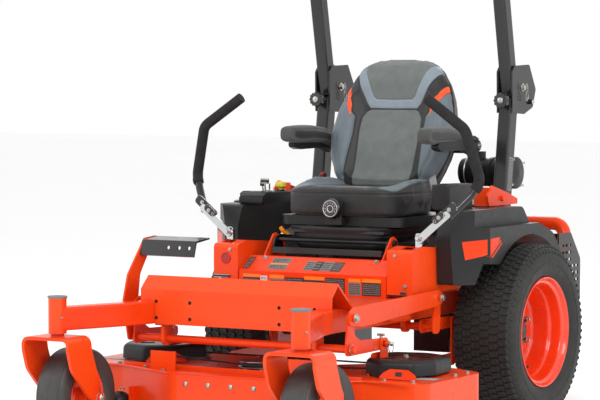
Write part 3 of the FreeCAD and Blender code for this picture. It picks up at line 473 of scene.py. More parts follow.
def rear_rim(side, sign):
    """Deep-dish disc wheel with a stepped lip, hub and wheel nuts."""
    centre = at(sign * 467.5, 0, 285)
    rim = Build()
    profile = [(0.078, 0.166), (0.086, 0.174), (0.0925, 0.1775), (0.0955, 0.1765), (0.0955, 0.1735),
               (0.090, 0.1700), (0.082, 0.1660), (0.079, 0.1600), (0.074, 0.1560), (0.040, 0.1520),
               (0.036, 0.1440), (-0.010, 0.1400), (-0.020, 0.1330), (-0.024, 0.1180), (-0.020, 0.1040),
               (-0.008, 0.0900), (-0.004, 0.0780), (-0.006, 0.0500), (-0.006, 0.0350)]
    fine = smooth_path([(a, r, 0) for a, r in profile], 4)
    rim.lathe([(p.x, p.y) for p in fine], centre, (sign, 0, 0), "rim_paint", 96)
    back = [(-0.006, 0.035), (-0.012, 0.050), (-0.010, 0.078), (-0.030, 0.118), (-0.030, 0.138),
            (-0.060, 0.146), (-0.086, 0.160), (-0.0925, 0.1740), (-0.0955, 0.1765), (-0.092, 0.1775),
            (-0.082, 0.170)]
    rim.lathe(back, centre, (sign, 0, 0), "rim_paint", 96)
    rim.lathe([(-0.030, 0.0), (0.014, 0.0), (0.016, 0.012), (0.016, 0.026), (0.012, 0.031), (-0.004, 0.034),
               (-0.030, 0.036)][::-1], centre, (sign, 0, 0), "black_paint", 40)
    for i in range(5):
        turn = 2 * math.pi * i / 5 + 0.3
        seat = wheel_point(centre, sign * -0.0045, 0.0575, turn)
        rim.bolt(seat, (sign, 0, 0), 0.0105, "zinc", 0.013)
        rim.lathe([(0.012, 0.0055), (0.021, 0.0055), (0.022, 0.0045), (0.022, 0.0002)], seat,
                  (sign, 0, 0), "zinc", 14)
    valve = wheel_point(centre, sign * 0.060, 0.1500, 2.5)
    inward = (centre + Vector((sign * 0.060, 0, 0)) - valve).normalized()
    rim.lathe([(0, 0.0055), (0.010, 0.0050), (0.012, 0.0040), (0.024, 0.0040), (0.025, 0.0030),
               (0.025, 0.0002)], valve, inward + Vector((sign * 0.6, 0, 0)), "tyre_rubber", 16)
    rim.done("dish_rim_" + side, "rear_wheel_" + side, "orange_paint", ["rear_rim_" + side])


def caster_wheel(side, sign):
    centre = at(sign * 421, -1210, 147)
    tyre = Build()
    half = [(0.0, 0.1470), (0.012, 0.1468), (0.026, 0.1460), (0.0345, 0.1445), (0.0362, 0.1428),
            (0.0380, 0.1438), (0.044, 0.1405), (0.050, 0.1330), (0.053, 0.1210), (0.0525, 0.1060),
            (0.048, 0.0930), (0.041, 0.0850), (0.036, 0.0800), (0.034, 0.0700)]
    profile = [(-a, r) for a, r in reversed(half)] + half[1:]
    fine = smooth_path([(a, r, 0) for a, r in profile], 3)
    tyre.lathe([(p.x, p.y) for p in fine], centre, (1, 0, 0), "caster_rubber", 96)
    tyre.lathe([(-0.0006, 0.1467), (-0.0004, 0.1474), (0.0004, 0.1474), (0.0006, 0.1467)], centre,
               (1, 0, 0), "caster_rubber", 96)
    tyre.done("smooth_tyre_" + side, "caster_wheel_" + side, "tyre_rubber", ["caster_tyre_" + side])
    hub = Build()
    for s in (-1, 1):
        disc = [(0.038, 0.0820), (0.0415, 0.0835), (0.0435, 0.0820), (0.0435, 0.0790), (0.036, 0.0750),
                (0.020, 0.0700), (0.014, 0.0600), (0.016, 0.0420), (0.024, 0.0340), (0.050, 0.0300),
                (0.058, 0.0285), (0.0600, 0.0265), (0.0600, 0.0105)]
        fine = smooth_path([(a, r, 0) for a, r in disc], 3)
        hub.lathe([(p.x, p.y) for p in fine], centre, (s, 0, 0), "rim_paint", 64)
        hub.lathe([(0.0600, 0.0180), (0.0640, 0.0180), (0.0650, 0.0170), (0.0650, 0.0098)], centre,
                  (s, 0, 0), "zinc", 32)
    hub.lathe([(-0.034, 0.0720), (0.034, 0.0720)], centre, (1, 0, 0), "rim_paint", 48)
    hub.done("wheel_hub_" + side, "caster_wheel_" + side, "orange_paint", ["caster_hub_" + side])


surface("rim_paint", (0.86, 0.045, 0.006), (0.74, 0.035, 0.004), rough=(0.20, 0.30), coat=0.5,
        grain=(420, 0.04))
surface("caster_rubber", (0.030, 0.030, 0.029), (0.045, 0.045, 0.043), rough=(0.42, 0.60), mottle=22,
        grain=(900, 0.10), wear=((0.06, 0.06, 0.058), 0.3))
for name, s in LEFT_RIGHT:
    rear_tyre(name, s)
    rear_rim(name, s)
    caster_wheel(name, s)


# ---------------------------------------------------------------- soft parts

def smooth_step(value, low, high):
    """Smooth rise from 0 at low to 1 at high."""
    t = max(0.0, min(1.0, (value - low) / (high - low)))
    return t * t * (3 - 2 * t)


def table(keys, value):
    """Smooth curve through (place, number) keys."""
    if value <= keys[0][0]:
        return keys[0][1]
    for (a, va), (b, vb) in zip(keys, keys[1:]):
        if value <= b:
            return va + (vb - va) * smooth_step(value, a, b) * 0.35 + (vb - va) * 0.65 * (value - a) / (b - a)
    return keys[-1][1]


def signed(point, polygon):
    """Distance inside (+) or outside (-) a polygon."""
    px, py = point
    inside, best = False, 1e9
    for (ax, ay), (bx, by) in zip(polygon, polygon[1:] + polygon[:1]):
        dx, dy = bx - ax, by - ay
        t = max(0.0, min(1.0, ((px - ax) * dx + (py - ay) * dy) / (dx * dx + dy * dy)))
        best = min(best, math.hypot(px - ax - dx * t, py - ay - dy * t))
        if (ay > py) != (by > py) and px < (bx - ax) * (py - ay) / (by - ay) + ax:
            inside = not inside
    return best if inside else -best


def puffed(name, rings, caps, voxel, cap, pressure=4.0, levels=1):
    """Closed form from rings, remeshed and swollen as cloth, capped in how far a point may move."""
    bm = bmesh.new()
    made = [[bm.verts.new(p) for p in ring] for ring in rings]
    n = len(rings[0])
    for a, b in zip(made, made[1:]):
        for i in range(n):
            bm.faces.new((a[i], a[(i + 1) % n], b[(i + 1) % n], b[i]))
    if caps:
        bm.faces.new(made[0][::-1])
        bm.faces.new(made[-1])
    bmesh.ops.recalc_face_normals(bm, faces=bm.faces)
    bmesh.ops.triangulate(bm, faces=[f for f in bm.faces if len(f.verts) > 4])
    mesh = bpy.data.meshes.new(name)
    bm.to_mesh(mesh)
    bm.free()
    obj = bpy.data.objects.new(name, mesh)
    scene = bpy.context.scene
    scene.collection.objects.link(obj)
    remesh = obj.modifiers.new("remesh", "REMESH")
    remesh.mode, remesh.voxel_size = "VOXEL", voxel
    apply_modifiers(obj)
    start = [v.co.copy() for v in obj.data.vertices]
    cloth = obj.modifiers.new("cloth", "CLOTH")
    cloth.settings.use_pressure = True
    cloth.settings.uniform_pressure_force = pressure
    cloth.settings.effector_weights.gravity = 0
    cloth.settings.quality = 4
    cloth.point_cache.frame_start, cloth.point_cache.frame_end = 1, 20
    for number in range(1, 21):
        scene.frame_set(number)
    bpy.context.view_layer.update()
    swollen = obj.evaluated_get(bpy.context.evaluated_depsgraph_get()).data
    moved = [v.co.copy() for v in swollen.vertices]
    obj.modifiers.clear()
    scene.frame_set(1)
    for vert, old, new in zip(obj.data.vertices, start, moved):
        step = new - old
        vert.co = old + step * (min(step.length, cap) / max(step.length, 1e-9))
    smooth = obj.modifiers.new("smooth", "SMOOTH")
    smooth.factor, smooth.iterations = 0.5, 4
    sub = obj.modifiers.new("sub", "SUBSURF")
    sub.levels = sub.render_levels = levels
    apply_modifiers(obj)
    return obj


def apply_modifiers(obj):
    bpy.context.view_layer.update()
    data = bpy.data.meshes.new_from_object(obj.evaluated_get(bpy.context.evaluated_depsgraph_get()))
    obj.modifiers.clear()
    obj.data = data


def panelled(obj, regions, seams, place):
    """Store how far each point is inside each panel, and press the seams in along the normals.

    place(point) gives (u, v, depth); regions maps an attribute to polygons and a depth limit;
    seams are (distance function, depth, width).
    """
    mesh = obj.data
    normals = [v.normal.copy() for v in mesh.vertices]
    values = {key: [] for key in regions}
    spots = [place(v.co) for v in mesh.vertices]
    for vert, normal, (u, v, depth) in zip(mesh.vertices, normals, spots):
        near = []
        for key, (polygons, limit) in regions.items():
            inside = max(signed((u, v), polygon) for polygon in polygons)
            inside = min(inside, depth - limit)
            values[key].append(inside)
            near.append(abs(inside))
        push = 0.0
        for reach in near:
            push -= 0.0024 * math.exp(-(reach / 0.0028) ** 2)
        push = max(push, -0.0032)
        for seam, deep, wide in seams:
            push -= deep * math.exp(-(seam(u, v, depth) / wide) ** 2)
        vert.co = vert.co + normal * push
    for key, numbers in values.items():
        layer = mesh.attributes.new(key, "FLOAT", "POINT")
        layer.data.foreach_set("value", numbers)
    for polygon in mesh.polygons:
        polygon.use_smooth = True
    mesh.update()


def upholstery(name, base, panels):
    """Seat cover: vinyl base with panels of other cloths, chosen by the stored distances."""
    mat, nodes, links, bsdf = new_material(name)
    coords = nodes.new("ShaderNodeTexCoord")
    fine = noise(nodes, links, coords, 46, 5)
    color = blend_colors(nodes, links, spread(nodes, links, fine, 0, 1), base[0], base[1])
    cloth_mask = None
    for key, first, second, cloth in panels:
        attribute = nodes.new("ShaderNodeAttribute")
        attribute.attribute_name = key
        mask = spread(nodes, links, attribute.outputs["Fac"], 0, 1, -0.0006, 0.0006)
        panel = blend_colors(nodes, links, spread(nodes, links, noise(nodes, links, coords, 30, 6), 0, 1),
                             first, second)
        color = blend_colors(nodes, links, mask, color, panel)
        if cloth:
            cloth_mask = mask
    links.new(color, bsdf.inputs["Base Color"])
    bsdf.inputs["Specular IOR Level"].default_value = 0.35
    bsdf.inputs["Sheen Weight"].default_value = 0.15
    leather = nodes.new("ShaderNodeTexVoronoi")
    leather.inputs["Scale"].default_value = 620
    links.new(coords.outputs["Object"], leather.inputs["Vector"])
    threads = nodes.new("ShaderNodeTexWave")
    threads.inputs["Scale"].default_value = 240
    threads.inputs["Distortion"].default_value = 1.6
    threads.inputs["Detail Scale"].default_value = 3
    links.new(coords.outputs["Object"], threads.inputs["Vector"])
    height = nodes.new("ShaderNodeMix")
    if cloth_mask is not None:
        links.new(cloth_mask, height.inputs["Factor"])
    links.new(leather.outputs["Distance"], height.inputs["A"])
    links.new(threads.outputs["Fac"], height.inputs["B"])
    bump = nodes.new("ShaderNodeBump")
    bump.inputs["Strength"].default_value = 0.18
    bump.inputs["Distance"].default_value = 0.001
    links.new(height.outputs["Result"], bump.inputs["Height"])
    links.new(bump.outputs["Normal"], bsdf.inputs["Normal"])
    gloss = nodes.new("ShaderNodeMix")
    gloss.inputs["A"].default_value, gloss.inputs["B"].default_value = 0.46, 0.86
    if cloth_mask is not None:
        links.new(cloth_mask, gloss.inputs["Factor"])
    links.new(gloss.outputs["Result"], bsdf.inputs["Roughness"])
    return mat


CHARCOAL = ((0.010, 0.0105, 0.011), (0.015, 0.0155, 0.016))
GREY_CLOTH = ((0.150, 0.165, 0.158), (0.120, 0.133, 0.128))
BLUE_GREY = ((0.125, 0.155, 0.175), (0.105, 0.132, 0.150))
BAND_GREY = ((0.215, 0.262, 0.300), (0.185, 0.228, 0.265))
ORANGE_CLOTH = ((0.95, 0.085, 0.010), (0.88, 0.070, 0.008))

BACK_FOOT, LEAN = at(0, -104, 750), math.atan(0.357)
UP_BACK = Vector((0, math.sin(LEAN), math.cos(LEAN)))
OUT_BACK = Vector((0, -math.cos(LEAN), math.sin(LEAN)))
BACK_HALF = [(0.0, 0.168), (0.05, 0.196), (0.11, 0.219), (0.18, 0.229), (0.25, 0.222), (0.32, 0.206),
             (0.37, 0.187), (0.405, 0.166), (0.428, 0.147), (0.443, 0.123), (0.452, 0.088)]


def back_point(x, s, d):
    """Point of the backrest: x across, s up along it, d out of its front."""
    return BACK_FOOT + Vector((x, 0, 0)) + UP_BACK * s + OUT_BACK * d


def back_place(point):
    """The same three measures for a given point."""
    off = point - BACK_FOOT
    return off.x, off.dot(UP_BACK), off.dot(OUT_BACK)


def edge_drop(x, half, radius):
    """How far a rounded edge has fallen at x."""
    e = max(0.0, min(1.0, (abs(x) - (half - radius)) / radius))
    return radius * (1 - math.sqrt(max(0.0, 1 - e * e)))


def back_rings():
    """Level outlines of the backrest, from its foot to its top."""
    rings = []
    levels = [i * 0.0105 for i in range(41)] + [0.436, 0.444, 0.449, 0.452]
    for s in levels:
        half = table(BACK_HALF, s) - 0.004
        deep = 0.104 - 0.026 * smooth_step(s, 0.28, 0.43)
        tip = smooth_step(s, 0.405, 0.454)
        foot = 1 - smooth_step(s, -0.02, 0.045)
        front0 = -0.030 * tip * tip - 0.020 * foot
        rear0 = -deep + 0.026 * tip * tip + 0.014 * foot
        wing = smooth_step(s, 0.0, 0.06) * (1 - smooth_step(s, 0.27, 0.375))
        ring = []
        for i in range(37):
            x = half * math.sin(math.pi / 2 * (i / 18 - 1))
            dish = -0.028 * wing * (1 - smooth_step(abs(x), 0.098, 0.162))
            crown = -0.006 * (x / 0.15) ** 2 * (1 - wing)
            ring.append(back_point(x, s, front0 + dish + crown - edge_drop(x, half, 0.046)))
        for i in range(36, -1, -1):
            x = half * math.sin(math.pi / 2 * (i / 18 - 1))
            if 0 < i < 36:
                ring.append(back_point(x, s, rear0 + edge_drop(x, half, 0.022)))
        rings.append(ring)
    return rings


def both_sides(polygon):
    """A polygon and its mirror image."""
    return [polygon, [(-x, y) for x, y in polygon]]


def seat_backrest():
    obj = puffed("backrest", back_rings(), True, 0.0052, 0.005)
    top = [(0.0, 0.30), (0.067, 0.302), (0.078, 0.312), (0.134, 0.441), (0.140, 0.470), (0, 0.470)]
    band = [(0.0, 0.273), (0.087, 0.274), (0.099, 0.288), (0.162, 0.410), (0.162, 0.47), (0, 0.47)]
    centre = [(0.0, -0.05), (0.106, -0.05), (0.108, 0.10), (0.112, 0.20), (0.109, 0.240),
              (0.096, 0.262), (0.082, 0.268), (0, 0.268)]
    wedge = [(0.146, 0.240), (0.147, 0.280), (0.184, 0.364), (0.199, 0.357), (0.171, 0.290)]
    bolster = [(0.144, -0.05), (0.137, 0.10), (0.131, 0.18), (0.132, 0.240), (0.153, 0.262),
               (0.175, 0.300), (0.200, 0.352), (0.32, 0.352), (0.32, -0.05)]

    def mirrored(line):
        return line + [(-x, y) for x, y in reversed(line) if x > 0]
    regions = {"cloth_panel": ([mirrored(centre), mirrored(top)], -0.075),
               "band_panel": ([mirrored(band)], -0.048),
               "vinyl_panel": (both_sides(bolster), -0.050),
               "wedge_panel": (both_sides(wedge), -0.050)}

    def crease(u, v, depth):
        inner = table(BACK_HALF, v) - 0.040
        return abs(abs(u) - inner) + max(0, v - 0.32) + max(0, 0.03 - v) + (0 if depth > -0.05 else 1)

    def piping(u, v, depth):
        return abs(depth + 0.052) + max(0, 0.02 - v)
    panelled(obj, regions, [(crease, 0.0030, 0.006), (piping, 0.0026, 0.0030)], back_place)
    obj.data.materials.clear()
    obj.data.materials.append(upholstery("back_cover", CHARCOAL, [
        ("vinyl_panel", *BLUE_GREY, False), ("band_panel", *BAND_GREY, False),
        ("cloth_panel", *GREY_CLOTH, True), ("wedge_panel", *ORANGE_CLOTH, False)]))
    place_piece(obj, "seat", ["seat_back"])


def cushion_edge(turn):
    """Plan outline of the cushion: flat front, rounded corners, narrowing to the rear."""
    power = 5.0
    c, s = math.cos(turn), math.sin(turn)
    x = 0.214 * math.copysign(abs(c) ** (2 / power), c)
    y = 0.192 * math.copysign(abs(s) ** (2 / power), s)
    return x * (1 - 0.16 * smooth_step(y, 0.02, 0.19)), y


def cushion_top(x, y):
    """Height of the seat over the pan, with raised wings at the sides to the rear."""
    wing = smooth_step(abs(x), 0.125, 0.190) * smooth_step(y, -0.150, 0.0)
    return 0.750 - 0.006 * smooth_step(y, -0.16, 0.05) + 0.030 * wing - 0.006 * (1 - smooth_step(
        abs(x), 0.09, 0.14)) * smooth_step(y, -0.15, -0.05)


def cushion_rings():
    centre = at(0, -186, 0)
    count, rings = 96, []

    def ring(shrink, height):
        out = []
        for i in range(count):
            x, y = cushion_edge(2 * math.pi * i / count)
            x, y = x * shrink, y * shrink
            out.append(centre + Vector((x, y, height(x, y))))
        return out
    rings.append(ring(0.90, lambda x, y: 0.662))
    rings.append(ring(0.97, lambda x, y: 0.664))
    for low in (0.672, 0.695, 0.718):
        rings.append(ring(0.985, lambda x, y, low=low: low))
    for shrink, drop in ((0.985, 0.016), (0.978, 0.009), (0.960, 0.004), (0.93, 0.001), (0.88, 0),
                         (0.80, 0), (0.70, 0), (0.6, 0), (0.5, 0), (0.4, 0), (0.3, 0), (0.2, 0), (0.08, 0)):
        rings.append(ring(shrink, lambda x, y, drop=drop: cushion_top(x, y) - drop))
    return rings


def seat_cushion():
    obj = puffed("cushion", cushion_rings(), True, 0.0056, 0.005)
    base = at(0, -186, 0)
    half = [(0.0, -0.158), (0.092, -0.158), (0.100, -0.145), (0.100, 0.25), (0, 0.25)]
    side = [(0.132, -0.150), (0.150, -0.156), (0.182, -0.150), (0.192, -0.130), (0.198, 0.0),
            (0.19, 0.10), (0.17, 0.25), (0.132, 0.25)]
    regions = {"cloth_panel": ([half + [(-x, y) for x, y in reversed(half) if x > 0]], 0.715),
               "vinyl_panel": (both_sides(side), 0.715)}

    def place(point):
        off = point - base
        return off.x, off.y, off.z

    def welt(u, v, depth):
        return abs(depth - 0.731) + (0 if abs(u) > 0.18 or v < -0.15 else 1)

    def channel(u, v, depth):
        return min(abs(v + 0.045), abs(v - 0.055)) + (0 if abs(u) < 0.098 and depth > 0.71 else 1)
    panelled(obj, regions, [(welt, 0.0022, 0.0028), (channel, 0.003, 0.006)], place)
    obj.data.materials.clear()
    obj.data.materials.append(upholstery("cushion_cover", CHARCOAL, [
        ("vinyl_panel", *BLUE_GREY, False), ("cloth_panel", *GREY_CLOTH, True)]))
    place_piece(obj, "seat", ["seat_cushion"])


def armrest(side, sign):
    """Padded armrest with painted light and shade: a lighter cloth band over the top and nose for the lit
    faces, dark sides for the shaded ones.
    """
    stations = [(-0.264, 0.905, 0.925, 0.020), (-0.260, 0.893, 0.940, 0.026), (-0.243, 0.888, 0.944, 0.029),
                (-0.190, 0.885, 0.945, 0.030), (-0.110, 0.886, 0.944, 0.030), (-0.030, 0.882, 0.936, 0.030),
                (0.030, 0.866, 0.918, 0.030), (0.062, 0.860, 0.902, 0.028), (0.076, 0.864, 0.892, 0.022)]
    base = at(sign * 254, 0, 0)
    rings = []
    for y, low, high, half in stations:
        mid, tall = (low + high) / 2, (high - low) / 2
        ring = []
        for i in range(28):
            turn = 2 * math.pi * i / 28
            c, s = math.cos(turn), math.sin(turn)
            u = math.copysign(abs(c) ** 0.5, c) * (half - 0.003)
            v = math.copysign(abs(s) ** 0.5, s) * (tall - 0.002)
            ring.append(base + Vector((u, y, mid + v)))
        rings.append(ring)
    obj = puffed("arm_pad_" + side, rings, True, 0.0048, 0.004)

    def place(point):
        off = point - base
        return off.x, off.y, off.z
    # painted light and shade: the band across the middle is lighter, the sides outside it darker
    strip = [(-0.026, -0.30), (0.026, -0.30), (0.026, 0.30), (-0.026, 0.30)]
    regions = {"cloth_panel": ([strip], 0.8)}
    panelled(obj, regions, [], place)
    obj.data.materials.clear()
    obj.data.materials.append(MATS["arm_cover_painted_shade"])
    place_piece(obj, "armrest_" + side, ["armrest_" + side])
    rest = Build()
    x = base.x
    rest.slab(rounded([(-0.205, 0.874), (-0.170, 0.864), (-0.02, 0.866), (0.05, 0.848), (0.088, 0.858),
                       (0.088, 0.90), (0.05, 0.912), (-0.03, 0.898), (-0.20, 0.892)], 0.012),
              -0.014, 0.014,
              Matrix(((0, 0, 1, x + sign * 0.012), (1, 0, 0, at(0, 0, 0).y), (0, 1, 0, 0), (0, 0, 0, 1))),
              "black_plastic", 0.004, 3)
    hub = at(sign * 290, 62, 878)
    rest.lathe([(-0.030, 0.020), (-0.003, 0.020), (0.0, 0.017), (0.001, 0.0002)], hub, (sign, 0, 0),
               "black_plastic", 32)
    rest.bolt(hub, (sign, 0, 0), 0.007)
    rest.done("arm_hinge_" + side, "armrest_" + side, "black_plastic")


# painted light and shade: the armrest cover's lighter band and darker sides
upholstery("arm_cover_painted_shade", CHARCOAL, [("cloth_panel", (0.070, 0.077, 0.074), (0.055, 0.061, 0.058), True)])
seat_backrest()
seat_cushion()
for name, s in LEFT_RIGHT:
    armrest(name, s)


# ---------------------------------------------------------------- finishes for details

surface("label_black", (0.018, 0.018, 0.018), (0.028, 0.028, 0.028), rough=(0.35, 0.45))
surface("label_grey", (0.20, 0.20, 0.19), (0.16, 0.16, 0.155), rough=(0.4, 0.5), mottle=60)
surface("label_white", (0.70, 0.70, 0.68), (0.62, 0.62, 0.60), rough=(0.35, 0.45))
surface("label_amber", (0.90, 0.23, 0.010), (0.82, 0.19, 0.008), rough=(0.35, 0.45))
surface("label_silver", (0.46, 0.46, 0.46), (0.36, 0.36, 0.36), rough=(0.3, 0.4), metal=0.6)
surface("dark_red", (0.42, 0.012, 0.010), (0.34, 0.010, 0.008), rough=(0.3, 0.4))
surface("gloss_black", (0.006, 0.006, 0.007), (0.010, 0.010, 0.011), rough=(0.10, 0.18), coat=0.6,
        grain=(300, 0.02))
surface("satin_black", (0.012, 0.012, 0.013), (0.018, 0.018, 0.019), rough=(0.26, 0.36), coat=0.2,
        grain=(1200, 0.10))
surface("yellow_plastic", (0.75, 0.62, 0.010), (0.66, 0.54, 0.010), rough=(0.35, 0.45))
surface("lever_yellow", (0.95, 0.34, 0.010), (0.86, 0.28, 0.010), rough=(0.3, 0.4))
surface("grey_cap", (0.16, 0.17, 0.17), (0.12, 0.13, 0.13), rough=(0.4, 0.5))


def plane(origin, u, v):
    """Local frame on a flat face: X along u, Y along v, Z out of it."""
    u, v = Vector(u).normalized(), Vector(v).normalized()
    w = u.cross(v)
    m = Matrix((u, v, w)).transposed().to_4x4()
    m.translation = origin
    return m


def tag(build, place, rect, mat, lift=0.0002, thick=0.0005, corner=0.0008):
    """Flat label, rect = (u0, v0, u1, v1) in metres."""
    a, b, c, d = rect
    build.slab(rounded([(a, b), (c, b), (c, d), (a, d)], corner, 2), lift, lift + thick, place, mat)


def bars(build, place, rect, rows, mat, lift=0.0007, seed=1):
    """Rows of plain short bars, where a label would carry print."""
    rng = random.Random(seed)
    a, b, c, d = rect
    step = (d - b) / rows
    for i in range(rows):
        x = a
        while x < c - 0.003:
            wide = min(rng.uniform(0.003, 0.012), c - x)
            tag(build, place, (x, b + step * (i + 0.28), x + wide, b + step * (i + 0.72)), mat, lift,
                0.0002, 0.0)
            x += wide + rng.uniform(0.0012, 0.003)


def mm(*numbers):
    """Millimetres as metres."""
    return tuple(n / 1000 for n in numbers)


def label_rows(build, face, shift, plates):
    """Blank plates, each with bars of the other colour in place of print."""
    for x0, x1, low, high, mat, print_mat, rows in plates:
        tag(build, face, mm(x0, low, x1, high), mat)
        if print_mat:
            inner = mm(x0 + 3, low + 3, x1 - 3, high - 3)
            bars(build, face, inner, rows, print_mat, seed=int(x0 + shift))


def panel_labels():
    """Plain blocks where the warning and setting labels are; no lettering."""
    riser = plane(at(0, -527, 0), (1, 0, 0), (0, 0, 1))
    b = Build()
    label_rows(b, riser, 400, (
        (-253, -190, 467, 477, "label_amber", None, 0),
        (-253, -190, 424, 466, "label_black", "label_grey", 6),
        (-188, -163, 457, 473, "label_white", "label_black", 2),
        (-154, -100, 466, 477, "label_amber", None, 0),
        (-154, -100, 424, 465, "label_grey", "label_black", 5),
        (-98, -27, 424, 471, "label_black", "label_grey", 7),
        (-26, 47, 466, 477, "label_amber", None, 0),
        (-26, 47, 424, 465, "label_black", "label_grey", 6),
        (51, 121, 424, 475, "label_black", "label_grey", 8),
        (134, 178, 465, 476, "label_amber", None, 0),
        (134, 178, 424, 464, "label_grey", "label_black", 6),
        (183, 250, 466, 477, "label_amber", None, 0),
        (183, 250, 424, 465, "label_black", "label_grey", 6)))
    b.done("riser_labels", "chassis", "black_plastic")
    slope = plane(at(0, -527, 487), (1, 0, 0), (0, 66, 44))
    b = Build()
    label_rows(b, slope, 500, (
        (-170, -103, 12, 36, "label_grey", "label_black", 3),
        (-170, -103, 36.5, 43, "label_amber", None, 0),
        (-170, -103, 43.5, 70, "label_grey", "label_black", 3),
        (-40, -6, 14, 60, "label_grey", "label_black", 4),
        (-5, 20, 14, 60, "label_black", "label_grey", 3),
        (21, 58, 14, 60, "label_grey", "label_black", 4),
        (59, 95, 14, 60, "label_black", "label_grey", 4)))
    tag(b, slope, mm(-262, 10, -238, 70), "label_black", corner=0.003)
    bars(b, slope, mm(-259, 13, -241, 67), 7, "label_silver", seed=5)
    for x in (-203, 203):
        b.bolt(at(x, -470, 525.4), (0, -44, 66), 0.006)
    b.done("slope_labels", "chassis", "black_plastic")


def box_details():
    """Fasteners, plug and rubber buffer on the lever boxes."""
    b = Build()
    for s in (-1, 1):
        b.bolt(at(s * 335, -530.5, 458), (0, -1, 0), 0.0055)
        b.bolt(at(s * 300, -530.5, 552), (0, -1, 0), 0.0045)
        b.bolt(at(s * 362.5, -300, 470), (s, 0, 0), 0.0055)
        b.bolt(at(s * 362.5, -300, 545), (s, 0, 0), 0.0055)
    b.lathe([(0, 0.0185), (0.0016, 0.0185), (0.0024, 0.0175), (0.0024, 0.0130), (0.0010, 0.0120),
             (0.0010, 0.0002)], at(-316, -530, 525), (0, -1, 0), "dark_red", 40)
    b.block(at(-330, -533, 467), mm(62, 7, 10), "bellows_rubber", (0, 0, 1), 0, 0.002, 0.003)
    b.block(at(330, -533, 438), mm(20, 3, 9), "label_black", (0, 0, 1), 0, 0.001, 0.001)
    b.done("box_fittings", "chassis", "steel")


def beam_details():
    """Dark cups in the holes, painted shade of their insides, and the pin caps, seals and grease nipples of
    the front beam.
    """
    b = Build()
    # painted shade: a dark cup in each hole stands for the shade inside it
    for x in (-280, -158, 158, 280):
        for z in (421, 371):
            b.lathe([(0.0010, 0.0053), (-0.005, 0.0053), (-0.005, 0.0002)], at(x, -985, z), (0, -1, 0),
                    "label_black", 20)
    for s in (-1, 1):
        b.lathe([(0, 0.0295), (0.005, 0.0300), (0.0066, 0.0285), (0.0066, 0.0120), (0.0078, 0.0100),
                 (0.0078, 0.0002)], at(s * 421, -1302, 448.6), (0, 0, 1), "grey_cap", 36)
        b.lathe([(0, 0.0200), (0.007, 0.0200), (0.0071, 0.0140)], at(s * 421, -1302, 336), (0, 0, 1),
                "bellows_rubber", 32)
        b.lathe([(0, 0.0040), (0.004, 0.0040), (0.007, 0.0030), (0.009, 0.0022), (0.011, 0.0022),
                 (0.011, 0.0002)], at(s * 421 + 26.5 * 0.85, -1302 - 26.5 * 0.5, 392),
                (0.85, -0.5, 0), "zinc", 14)
    b.done("beam_fittings", "chassis", "steel")


def caster_fork_details(side, sign):
    b = Build()
    for s in (-1, 1):
        spot = at(sign * 421 + s * 86.5, -1210, 147)
        b.bolt(spot, (s, 0, 0), 0.0125, "zinc", 0.010)
        b.lathe([(0.009, 0.0068), (0.016, 0.0068), (0.017, 0.0060), (0.017, 0.0002)], spot, (s, 0, 0),
                "zinc", 16)
    b.done("axle_nuts_" + side, "caster_" + side, "steel")


def rops_details():
    fixed = Build()
    for s in (-1, 1):
        star = []
        for i in range(48):
            turn = 2 * math.pi * i / 48
            r = 0.0235 + 0.0032 * math.cos(6 * turn)
            star.append((r * math.cos(turn), r * math.sin(turn)))
        spot = at(s * 350, 116, 1026)
        face = frame_at(spot, (0, -1, 0))
        fixed.slab(star, 0, 0.020, face, "satin_black", 0.004, 4)
        fixed.lathe([(0.020, 0.010), (0.0225, 0.010), (0.0235, 0.008), (0.0235, 0.0002)], spot, (0, -1, 0),
                    "zinc", 24)
        fixed.lathe([(-0.022, 0.009), (0.0, 0.012)], spot, (0, -1, 0), "zinc", 20)
        for out in (-1, 1):
            base = at(s * 346 + out * 34, 269, 1020)
            fixed.lathe([(-0.004, 0.0075), (0.006, 0.0075), (0.0072, 0.006), (0.0072, 0.0002)], base,
                        (out, 0, 0), "zinc", 20)
            pin = at(s * 346 + out * 29, 213, 1068)
            fixed.bolt(pin, (out, 0, 0), 0.010)
            clip = [pin + Vector((out * 0.016, -0.004, 0.014)), pin + Vector((out * 0.018, 0, 0.002)),
                    pin + Vector((out * 0.016, 0.004, -0.016)), pin + Vector((out * 0.014, 0.012, -0.032)),
                    pin + Vector((out * 0.013, 0.004, -0.044)), pin + Vector((out * 0.014, -0.006, -0.034)),
                    pin + Vector((out * 0.015, -0.002, -0.012))]
            fixed.tube(clip, 0.0013, "zinc", 8, 5)
        side_face = plane(at(s * 369, 131, 780), (0, s, -0.145 * s), (0, 0.145, 1))
        tag(fixed, side_face, mm(-14, -50, 14, 60), "label_grey", 0.0002, 0.0005, 0.002)
        bars(fixed, side_face, mm(-11, -46, 11, 56), 14, "label_black", seed=9)
    fixed.done("bar_lock_knobs", "chassis", "steel")


def pod_details():
    """Cup holder on the left pod."""
    b = Build()
    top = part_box("fender_left")[1].z
    b.slab(rounded([(-0.034, -0.085), (0.030, -0.085), (0.030, 0.085), (-0.034, 0.085)], 0.010, 5),
        0, 0.078, frame_at(at(350, -246, 0) + Vector((0, 0, top)), (0, 0, 1)), "black_plastic", 0.005, 3)
    cup = at(350, -262, 0) + Vector((0, 0, top + 0.0785))
    b.lathe([(0, 0.0275), (0.0012, 0.0285), (0.0012, 0.0300), (0.0, 0.0312)], cup, (0, 0, 1),
            "black_plastic", 40)
    b.lathe([(0.0006, 0.0275), (0.0004, 0.0002)], cup, (0, 0, 1), "label_black", 40)
    b.done("cup_holder", "chassis", "black_plastic")


def yellow_handle():
    """Bent handle that frees the seat slide."""
    b = Build()
    b.tube([at(-205, -318, 594), at(-216, -326, 598), at(-222, -334, 606), at(-226, -340, 616)],
           [0.004, 0.0065, 0.0075, 0.006], "lever_yellow", 14, 6)
    b.done("slide_handle", "suspension", "orange_paint")


